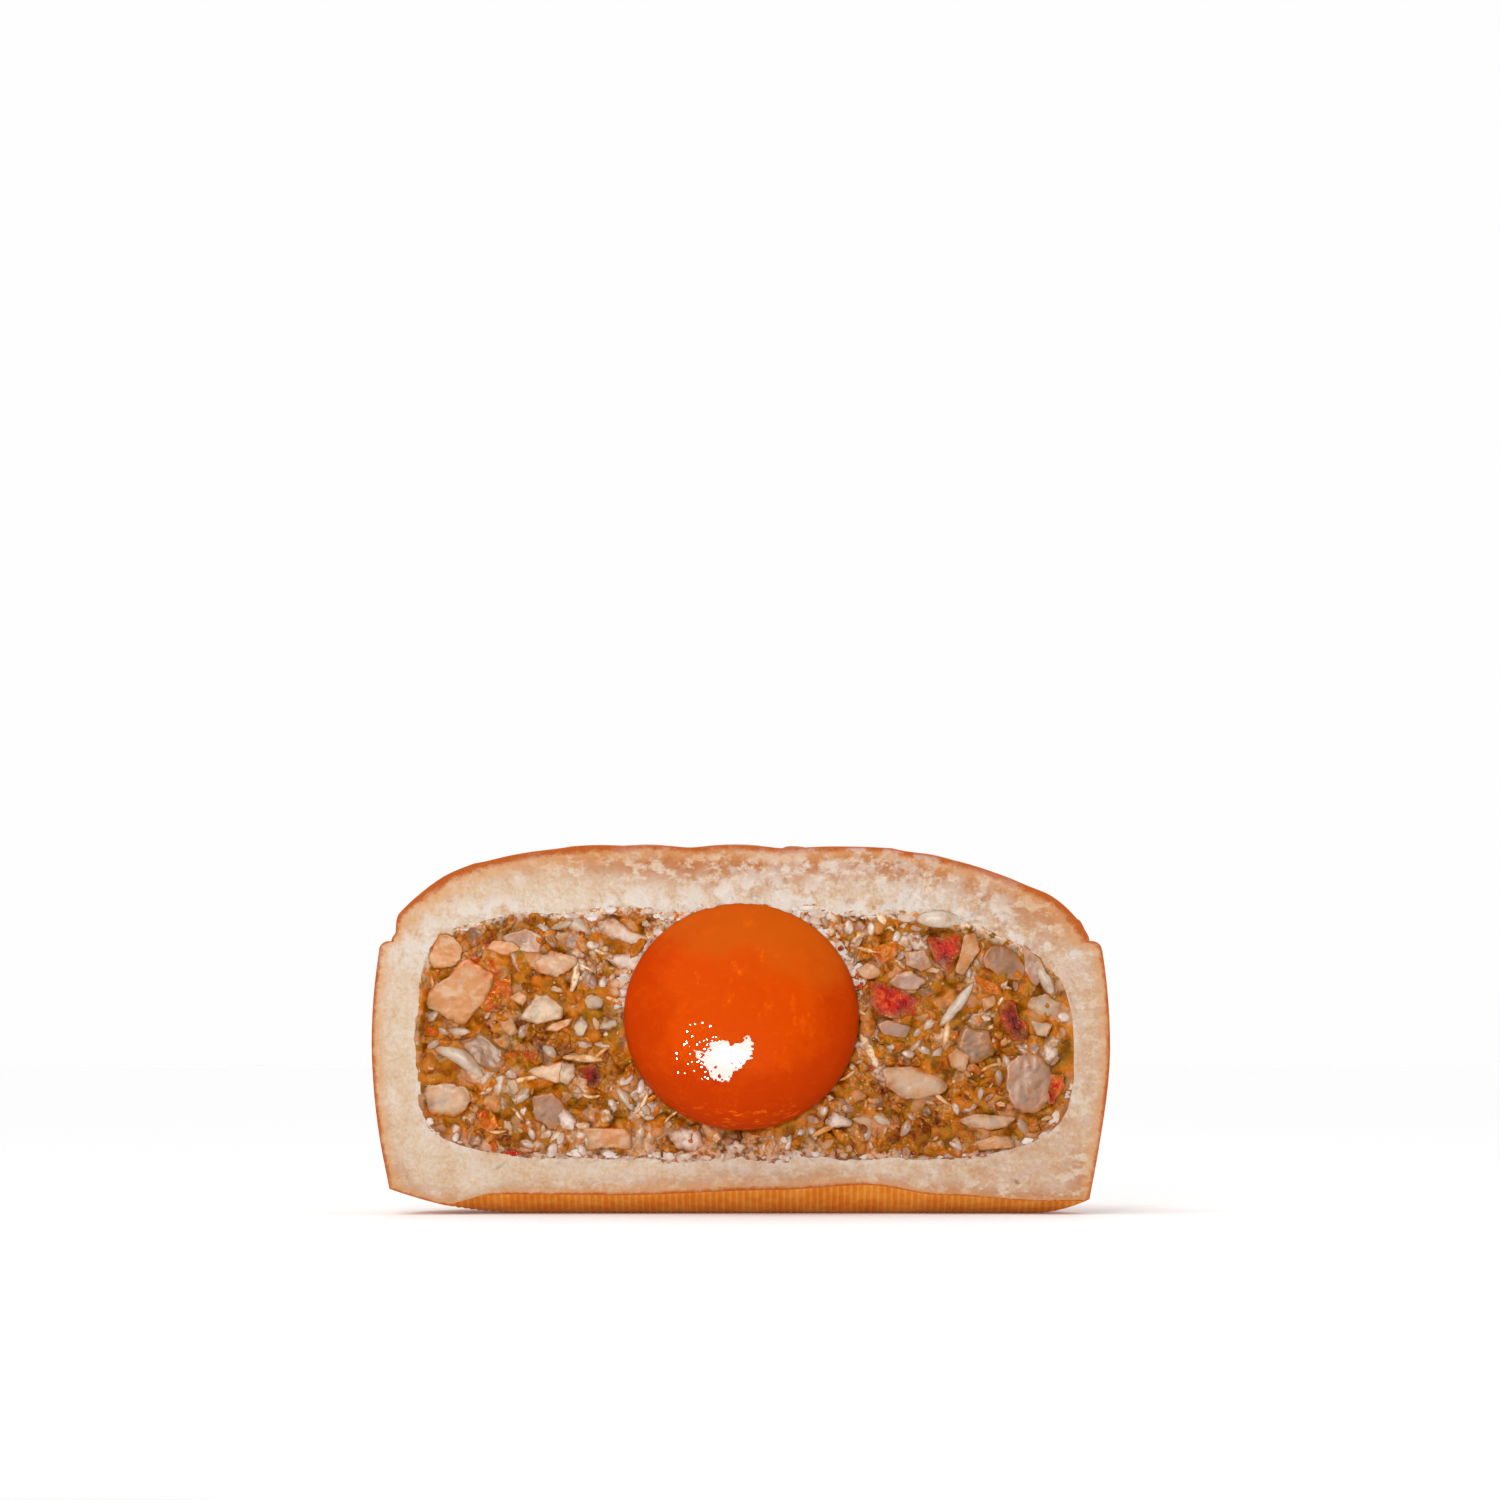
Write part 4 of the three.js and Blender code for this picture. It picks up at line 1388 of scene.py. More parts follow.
    def build_wet_patch(self) -> Piece:
        """Lay a thin ragged film of oil with small drops round it on the front of the yolk.

        Returns:
            The oil.
        """
        draft = Draft()
        steps = np.arange(-self.wet_half, self.wet_half, self.wet_pitch)
        across, up = np.meshgrid(self.wet_centre[0] + steps, self.wet_centre[1] + steps)
        x, z = across.ravel(), up.ravel()
        faces = grid_faces(len(steps), len(steps))
        faces = faces[self.is_wet(rows_of(x, z))[faces].all(axis=1)]
        draft.add(rows_of(x, self.film(x, z), z), faces)
        draw = np.random.default_rng(56)
        edge = np.arange(self.drop_sides)
        ring = math.tau * edge / self.drop_sides
        for _ in range(self.drops):
            away = self.drop_away[0] + self.drop_away[1] * draw.random() ** 1.5
            turn = draw.uniform(*self.drop_turn) * math.pi
            middle = self.wet_centre + away * np.array(self.drop_spread) * (math.cos(turn), math.sin(turn))
            reach = draw.uniform(*self.drop_size) * draw.uniform(0.6, 1.5, self.drop_sides)
            x = middle[0] + np.append(reach * np.cos(ring) * draw.uniform(0.7, 1.5), 0)
            z = middle[1] + np.append(reach * np.sin(ring), 0)
            level = self.face(*middle[:, None])[0] - self.wet_plane(*middle[:, None])[0] - self.drop_lift
            draft.add(rows_of(x, level + self.wet_plane(x, z), z), fan(edge, np.array([self.drop_sides])))
        return draft.mesh("yolk_wet_patch", [WetFinish().build()], crease=180)


@dataclass
class Paste:
    """The paste that binds the filling: lumpy where it is cut, floury at its top and round the yolk."""

    form: CakeForm
    yolk: Yolk
    around: int = 820
    front_rows: int = 112
    back_rows: int = 8
    innermost: float = 0.3
    overlap: float = 0.25
    sunken: float = 0.75
    drift: float = 0.45
    drift_size: float = 1.2
    bit_gap: float = 1.3
    bit_reach: float = 0.95
    bit_height: float = 0.65
    waves: tuple[Layer, ...] = ((0.4, 3.4, 41), (0.24, 1.1, 43), (0.1, 0.55, 46))
    rim_reach: Pair = (0.4, 1.4)
    yolk_flour: Pair = (1.02, 1.16)
    top_flour: Pair = (0.4, 2.2)
    base_flour: Pair = (1.0, 4.0)

    def surface(self, place: Array, inset: Array) -> tuple[Array, Array]:
        """Shape the cut surface of the paste, which is packed from small bits.

        Args:
            place: Points across and up.
            inset: How far they lie inside the rim.

        Returns:
            How far the points stand out of the cut, and how deep they lie between bits, from 0 to 1
            (darkened there as painted shade).
        """
        drift = rows_of(rough(place, self.drift_size, 44), rough(place, self.drift_size, 47))
        apart, _ = nearest_cell(place + self.drift * drift, self.bit_gap, 45)
        bit = np.sqrt(np.clip(1 - (apart / self.bit_reach) ** 2, 0, None))
        wave = layered(place, *self.waves) + self.bit_height * bit - self.sunken
        return lerp(0.06 + 0.16 * wave, wave, climb(0.3, 1.3, inset)), fade(0.2, 0.85, bit)

    def dressing(self, place: Array, inset: Array, up: Array) -> dict[str, Array]:
        """Find where the paste is dark along its rim, and where it is floury.

        Args:
            place: Points across and up.
            inset: How far they lie inside the rim.
            up: How far the rim there lies above the middle.

        Returns:
            The named values.
        """
        offset = (place - self.yolk.centre) / self.yolk.half
        high, low = up / self.form.hollow_above, up / self.form.hollow_below
        by_yolk = fade(*self.yolk_flour, np.hypot(*offset.T)) * climb(-0.2, 0.5, offset[:, 1])
        by_top = fade(*self.top_flour, inset) * climb(0.3, 0.9, high)
        by_base = 0.5 * fade(*self.base_flour, inset) * fade(-0.98, -0.7, low)
        return {
            "rim": fade(*self.rim_reach, inset) * fade(-0.9, -0.2, low),
            "flour": np.maximum.reduce([by_yolk, by_top, by_base]),
        }

    def build(self) -> Piece:
        """Make the paste as one closed mesh.

        Returns:
            The paste.
        """
        draft = Draft()
        angle = all_round(self.around)
        ray = rays(angle) * (self.form.hollow(angle) + self.overlap)[:, None]
        middle = np.array([0, self.form.hollow_middle])
        loops = []
        for share in np.linspace(self.innermost, 1, self.front_rows):
            place = middle + ray * share
            inset = np.hypot(*ray.T) * (1 - share)
            stand, gap = self.surface(place, inset)
            points = rows_of(place[:, 0], -stand, place[:, 1])
            loops.append(draft.add(points, gap=gap, **self.dressing(place, inset, ray[:, 1])))
        plain = {"rim": 0, "flour": 0, "gap": 0}
        for points in bowl(middle, ray, self.back_rows, 0.2, self.form.hollow_reach[0] - 0.1):
            loops.append(draft.add(points, **plain))
        draft.join(grid_faces(len(loops), self.around, wrap=True))
        front = draft.add(np.array([[0, 0.4, middle[1]]]), **plain)
        back = draft.add(np.array([[0, self.form.hollow_reach[0] - 0.1, middle[1]]]), **plain)
        draft.join(fan(loops[0], front))
        draft.join(fan(loops[-1], back))
        return draft.mesh("filling_paste", [PasteFinish().build()], crease=80)


# Pieces in the filling


class Stuff(Enum):
    """What a piece in the filling is made of."""

    NUT = MorselFinish(
        "chopped_nut", "nut", tones((176, 110, 52), (180, 138, 104), (180, 149, 123), (150, 129, 110)),
        roughness=0.32, reach=1.4, grain=(0.6, 0.04), edge=screen(190, 92, 10),
        coated=0.2, lined=0.2, shine=(1.0, 0.85, 0.65, 1.0),
    )
    SEED = MorselFinish(
        "melon_seed", "seed", tones((160, 129, 100), (174, 150, 127), (196, 180, 164)),
        roughness=0.36, grain=(0.8, 0.05), edge=screen(176, 132, 82),
        coated=0.3, shine=(1.0, 0.95, 0.9, 1.0),
    )
    SESAME = MorselFinish(
        "sesame_seed", "seed", tones((158, 128, 106), (176, 152, 134), (206, 190, 176)),
        roughness=0.28, glow=0.35, reach=0.9, grain=(0.5, 0.04), edge=screen(186, 140, 100),
        coated=0.45, shine=(1.0, 0.95, 0.9, 1.0),
    )
    FRUIT = MorselFinish(
        "red_fruit", "red_fruit", tones((72, 0, 0), (138, 6, 0), (176, 22, 0), (206, 100, 30)),
        roughness=0.12, glow=0.12, reach=0.8, grain=(0.7, 0.4),
        coated=0.14, lined=0.3, shine=(1.0, 0.5, 0.4, 1.0),
    )
    CANDIED = MorselFinish(
        "candied_melon", "candied_melon",
        tones((112, 76, 44), (142, 102, 78), (152, 121, 106), (148, 121, 108)),
        roughness=0.3, glow=0.4, reach=2.0, grain=(0.8, 0.03), coated=0.5, lined=0.15,
        shine=(1.0, 0.85, 0.75, 1.0), patchy=0.16,
    )
    JELLY = MorselFinish(
        "amber_jelly", "filling",
        tones(
            (90, 28, 0), (128, 56, 0), (130, 86, 0), (172, 78, 2),
            (184, 112, 30), (162, 124, 100), (194, 154, 120), (206, 186, 172),
        ),
        roughness=0.11, reach=1.6, grain=(0.8, 0.22), lined=0.05,
    )
    PEEL = MorselFinish(
        "candied_peel", "filling", tones((146, 38, 0), (184, 70, 0), (196, 106, 4)),
        roughness=0.12, glow=0.35, reach=1.4, grain=(0.8, 0.2), lined=0.1,
    )
    SHRED = MorselFinish(
        "pale_shred", "filling", tones((190, 132, 78), (210, 168, 124), (220, 198, 168)),
        roughness=0.35, reach=0.9, grain=(0.4, 0.05),
    )
    FLOUR = MorselFinish(
        "flour_crumb", "crust", tones((196, 164, 142), (206, 185, 170), (216, 202, 194)),
        roughness=0.7, reach=0.8, grain=(0.35, 0.14), coated=0.35,
    )
    DARK = MorselFinish(
        "dark_bit", "filling", tones((72, 26, 12), (104, 42, 22), (92, 66, 28)),
        roughness=0.2, glow=0.2, reach=0.8, grain=(0.5, 0.1),
    )


@functools.cache
def material(stuff: Stuff) -> Material:
    """Make the material of a stuff once."""
    return stuff.value.build()


def ball(level: int) -> tuple[Array, Array]:
    """Make a unit ball of triangles.

    Args:
        level: How often each triangle is split.

    Returns:
        Its points, and its faces.
    """
    blank = bmesh.new()
    bmesh.ops.create_icosphere(blank, subdivisions=level, radius=1)
    points = np.array([vertex.co[:] for vertex in blank.verts])
    faces = np.array([[vertex.index for vertex in face.verts] for face in blank.faces])
    blank.free()
    return points, faces


def turned(places: Array, angle: float) -> Array:
    """Turn places in the cut anticlockwise by an angle in radians."""
    return places @ np.array([[math.cos(angle), math.sin(angle)], [-math.sin(angle), math.cos(angle)]])


def outline_reach(corners: Array, turn: Array, softness: float) -> Array:
    """Find how far a closed outline lies from its middle in each direction.

    Args:
        corners: Corners about the middle, in order.
        turn: Directions in radians.
        softness: How far the corners are rounded, in degrees.

    Returns:
        The distances.
    """
    closed = np.vstack([corners, corners[:1]])
    walk = np.linspace(0, len(corners), 40 * len(corners), endpoint=False)
    x, z = (np.interp(walk, np.arange(len(closed)), closed[:, axis]) for axis in (0, 1))
    even = np.radians(np.arange(0, 360, 3))
    reach = np.interp(even, np.arctan2(z, x), np.hypot(x, z), period=math.tau)
    bell = np.exp(-0.5 * (np.degrees(np.minimum(even, math.tau - even)) / softness) ** 2)
    reach = np.real(np.fft.ifft(np.fft.fft(reach) * np.fft.fft(bell / bell.sum())))
    return np.interp(turn, even, reach, period=math.tau)


# Unevenness of a sliced piece, and how far the paste reaches over its face from its edge
RAGGED_WAVES: tuple[Layer, ...] = ((1.0, 0.9, 61), (0.6, 0.35, 60))
FACE_WAVES: tuple[Layer, ...] = ((0.1, 1.2, 62), (0.05, 0.5, 63))
GLAZE_REACH = 1.3


@dataclass(frozen=True)
class Solid:
    """Points and triangles of a small piece, with how much skin and how much paste lies on each point."""

    points: Array
    faces: Array
    edge: Array
    glaze: Array

    def tilted(self, slope: Array, stand: float = 0.0) -> Array:
        """Tilt its face by a slope across and up, and let it stand out of the cut.

        Args:
            slope: The slope, across and up.
            stand: How far it stands out.

        Returns:
            Its points.
        """
        moved = self.points.copy()
        moved[:, 1] += moved[:, [0, 2]] @ slope - stand
        return moved


def sliced(
    corners: Array, depth: float, bevel: float, around: int, fine: int, seed: int,
    rim: float | None, ragged: float, lumpy: float,
) -> Solid:
    """Make a solid whose front is a cut face.

    Args:
        corners: Outline of the cut face about its middle, in millimetres.
        depth: How far the solid reaches back.
        bevel: Rounding of the face's edge.
        around: Points round the outline.
        fine: Rows of points in the face.
        seed: Chooses its unevenness.
        rim: Direction, in degrees, of the side that keeps its skin, if any.
        ragged: How uneven the outline is, as a share of its size.
        lumpy: How uneven the face is, as a multiple of the usual waves.

    Returns:
        The solid, with the face at y = 0.
    """
    turn = all_round(around)
    spots = rays(turn)
    reach = outline_reach(corners, turn, 3.5) * (1 + ragged * layered(spots * 2 + seed, *RAGGED_WAVES))
    mean = reach.mean()
    bevel = min(bevel, 0.6 * mean)
    share = bevel / mean
    rows = [(part * (1 - share), 0.0) for part in np.linspace(0, 1, fine + 1)[1:]]
    for bend in np.linspace(0, math.pi / 2, 4)[1:]:
        rows.append((1 - share * (1 - math.sin(bend)), bevel * (1 - math.cos(bend))))
    rows += [(0.97, max(0.6 * depth, bevel)), (0.7, max(depth, bevel))]
    points = [np.zeros((1, 3))]
    edges = [np.zeros(1)]
    glazes = [np.zeros(1)]
    inmost = max(0.3, 1 - GLAZE_REACH / mean)
    facing = np.zeros(around) if rim is None else np.clip(np.cos(turn - math.radians(rim)), 0, 1)
    for part, back in rows:
        place = spots * (reach * part)[:, None]
        wave = lumpy * layered(place + seed, *FACE_WAVES)
        points.append(rows_of(place[:, 0], back + wave, place[:, 1]))
        edges.append(facing * climb(0.55, 1, part))
        glazes.append(np.full(around, climb(inmost, 1, part) if back < bevel else 1.0))
    points.append(np.array([[0, max(depth, bevel), 0]]))
    edges.append(np.zeros(1))
    glazes.append(np.ones(1))
    ring = 1 + np.arange(around)
    last = ring + (len(rows) - 1) * around
    quads = grid_faces(len(rows), around, wrap=True) + 1
    faces = np.concatenate([
        quads[:, [0, 1, 2]], quads[:, [0, 2, 3]], fan(ring, np.array([0])), fan(last, last[-1:] + 1),
    ])
    return Solid(np.concatenate(points), faces, np.concatenate(edges), np.concatenate(glazes))


@dataclass(frozen=True)
class Cutting:
    """One piece that the knife has sliced, at its own place in the cut.

    Attributes:
        stuff: What it is made of.
        corners: Outline in the cut, across and up.
        tint: Which of the stuff's colours it has, from 0 to 1.
        stand: How far it stands out of the cut.
        rim: Direction, in degrees, of the side that keeps its skin.
        bevel: Rounding of its edge.
        depth: How far it reaches back.
        node: The node of the frame that it stands for, if any.
        around: Points round its outline.
        fine: Rows of points in its face.
        ragged: How uneven its outline is, as a share of its size.
    """

    stuff: Stuff
    corners: tuple[Pair, ...]
    tint: float = 0.5
    stand: float = 0.3
    rim: float | None = None
    bevel: float = 0.16
    depth: float = 2.5
    node: str | None = None
    around: int = 80
    fine: int = 12
    ragged: float = 0.09

    @property
    def lumpy(self) -> float:
        """How uneven its face is: nuts and candied melon are cut clean, and the rest is not."""
        return 0.4 if self.stuff in (Stuff.NUT, Stuff.CANDIED) else 2.4

    @property
    def middle(self) -> Array:
        """Middle of the outline."""
        return np.mean(self.corners, axis=0)

    @property
    def reach(self) -> float:
        """Mean distance of the corners from the middle."""
        return float(np.linalg.norm(np.array(self.corners) - self.middle, axis=-1).mean())

    def add_to(self, draft: Draft, seed: int) -> None:
        """Add the piece to a mesh.

        Args:
            draft: The mesh.
            seed: Chooses its unevenness.
        """
        outline = np.array(self.corners) - self.middle
        solid = sliced(
            outline, self.depth, self.bevel, self.around, self.fine, seed, self.rim, self.ragged, self.lumpy
        )
        slope = np.random.default_rng(seed).uniform(-0.07, 0.07, 2)
        points = solid.tilted(slope, self.stand) + (self.middle[0], 0, self.middle[1])
        draft.add(points, solid.faces, tint=self.tint, edge=solid.edge, glaze=solid.glaze)


@dataclass(frozen=True)
class Morsel:
    """One kind of small piece that is scattered.

    Attributes:
        stuff: What it is made of.
        count: How many are scattered.
        length: Shortest and longest.
        width: Width as a share of the length, least and most.
        stand: Least and most that it stands out of the cut.
        clear: Share of its size that it keeps clear of its neighbours.
        level: How finely a rounded piece is made.
    """

    stuff: Stuff
    count: int
    length: Pair
    width: Pair
    stand: Pair
    clear: float = 0.7
    level: int = 2

    def solid(self, length: float, width: float, draw: np.random.Generator) -> Solid:
        """Make an uneven lump.

        Args:
            length: Length across.
            width: Width up.
            draw: Source of random numbers.

        Returns:
            The lump, with its front at y = 0.
        """
        ball_points, faces = ball(self.level)
        points = ball_points * np.array([length, 0.5 * width, width]) / 2
        points = points * (1 + 0.45 * rough(ball_points + draw.uniform(0, 50, 3), 0.7, 64))[:, None]
        return self.settled(points, faces, ball_points[:, 0], ball_points)

    @staticmethod
    def settled(points: Array, faces: Array, edge: Array, ball_points: Array) -> Solid:
        """Move a rounded piece, made from a ball, so that its front is at y = 0."""
        glaze = climb(0.55, 1, np.hypot(ball_points[:, 0], ball_points[:, 2]))
        return Solid(points - (0, points[:, 1].min(), 0), faces, edge, glaze)


@dataclass(frozen=True)
class Kernel(Morsel):
    """A flat seed with a blunt and a pointed end, tipped a little out of the cut."""

    thickness: float = 0.34
    point: float = 0.4
    tip: float = 0.5

    def solid(self, length: float, width: float, draw: np.random.Generator) -> Solid:
        """Make a seed."""
        ball_points, faces = ball(self.level)
        along = ball_points[:, 0]
        taper = 1 - self.point * np.clip(along, 0, 1) ** 1.2 - 0.08 * np.clip(-along, 0, 1)
        points = ball_points * np.array([length, self.thickness * length, width]) / 2
        points[:, 1:] *= taper[:, None]
        points[:, 2] += 0.05 * length * draw.uniform(-1, 1) * along**2
        nod = Matrix.Rotation(draw.uniform(-self.tip, self.tip), 3, "X")
        yaw = Matrix.Rotation(draw.uniform(-0.5, 0.5) * self.tip, 3, "Z")
        points = points @ np.array(nod @ yaw).T
        return self.settled(points, faces, climb(0.6, 1, np.abs(along)), ball_points)


@dataclass(frozen=True)
class Shred(Morsel):
    """A thin bent strip."""

    bend: float = 0.35

    def solid(self, length: float, width: float, draw: np.random.Generator) -> Solid:
        """Make a strip."""
        ball_points, faces = ball(self.level)
        along = ball_points[:, 0]
        points = ball_points * np.array([length, 0.6 * width, width]) / 2
        points[:, 2] += length / 2 * self.bend * draw.uniform(-1, 1) * along**2
        points[:, 1] += length / 2 * 0.1 * draw.uniform(-1, 1) * along
        return self.settled(points, faces, along, ball_points)


@dataclass(frozen=True)
class Chopped(Morsel):
    """A chopped piece, sliced flat by the knife."""

    sides: int = 6
    bevel: float = 0.3
    around: int = 24
    fine: int = 3
    skinned: float = 0.0
    ragged: float = 0.1
    lumpy: float = 1.0

    def solid(self, length: float, width: float, draw: np.random.Generator) -> Solid:
        """Make a piece with an outline of several sides."""
        turn = (np.arange(self.sides) + draw.uniform(-0.32, 0.32, self.sides)) * math.tau / self.sides
        reach = draw.uniform(0.7, 1.08, self.sides) / 2
        corners = rows_of(length * reach * np.cos(turn), width * reach * np.sin(turn))
        rim = draw.uniform(0, 360) if draw.random() < self.skinned else None
        seed = int(draw.integers(1000))
        made = sliced(
            corners, 0.6 * width + 0.4, self.bevel * width, self.around, self.fine, seed, rim,
            self.ragged, self.lumpy,
        )
        return Solid(made.tilted(draw.uniform(-0.16, 0.16, 2)), made.faces, made.edge, made.glaze)


NODE_CUTTINGS: dict[Stuff, tuple[tuple, ...]] = {
    Stuff.NUT: (
        (((-32.3, 30.9), (-28.8, 28.7), (-30.4, 25.1), (-32.6, 22.8), (-34.7, 23), (-37.2, 24.9),
          (-37, 26.3)), 0.1, 0.4, 60, 0.18, 3, "nut_chunk_1"),
        (((-26.3, 23.2), (-24.4, 26.1), (-23, 26.2), (-21, 24.6), (-21.2, 23.4), (-24, 22.5)), 0.95, 0.45,
          None, 0.2, 2.5, "nut_chunk_2"),
        (((-37.6, 14.6), (-37, 15.4), (-34.7, 15.6), (-32.6, 15.2), (-31.9, 13.9), (-32.4, 12.4),
          (-34.1, 11.6), (-37, 11.7)), 0.6, 0.4, 260, 0.2, 3, "nut_chunk_3"),
        (((-24.6, 30), (-22.7, 31.4), (-19.1, 30.7), (-19.5, 29.6), (-21.9, 28.1), (-24, 28.6)), 0.35, 0.4,
          75, 0.18, 2.5, "nut_slice_1"),
        (((16.6, 17.3), (19.4, 17.7), (22.4, 17), (24.9, 15.5), (24.5, 14.6), (22.2, 13.8), (19.2, 13.6),
          (17.4, 15.3)), 0.5, 0.4, 75, 0.18, 2.5, "nut_slice_2"),
    ),
    Stuff.FRUIT: (
        (((15.4, 27.6), (17, 27.8), (19, 27), (21.6, 25.4), (21.2, 23.6), (18.4, 23.2), (16, 23.6),
          (15.3, 25.4)), 0.5, 0.3, None, 0.2, 2.5, "red_fruit_1"),
        (((21.9, 33.2), (24, 33), (26.2, 33.3), (26.3, 31.2), (24.6, 28.8), (23.2, 30)), 0.42, 0.3, None,
          0.2, 2.5, "red_fruit_2"),
        (((30.6, 24.6), (31.6, 25.8), (32.6, 25.4), (33.2, 23.4), (34.4, 22.4), (34, 20.8), (32.4, 20.6),
          (31, 22.4)), 0.3, 0.3, None, 0.2, 2.5, "red_fruit_3"),
    ),
    Stuff.CANDIED: (
        (((31.6, 18), (33.2, 19.7), (35.4, 19.2), (37, 17.4), (37, 13.8), (35.2, 12), (32.6, 12.4),
          (31.4, 14.8)), 0.32, 0.2, None, 0.25, 3, "candied_melon_1"),
        (((28.6, 31), (30.4, 32.2), (32.6, 31.4), (34.2, 29.4), (33.4, 27.9), (31, 28.2), (29, 29.4)), 0.25,
          0.2, None, 0.2, 2.5, "candied_melon_2"),
        (((-25, 14), (-22.4, 14.6), (-20.8, 13), (-20.2, 11), (-22.4, 10.2), (-24.6, 11.4)), 0.4, 0.2, None,
          0.2, 2.5, "candied_melon_3"),
    ),
}

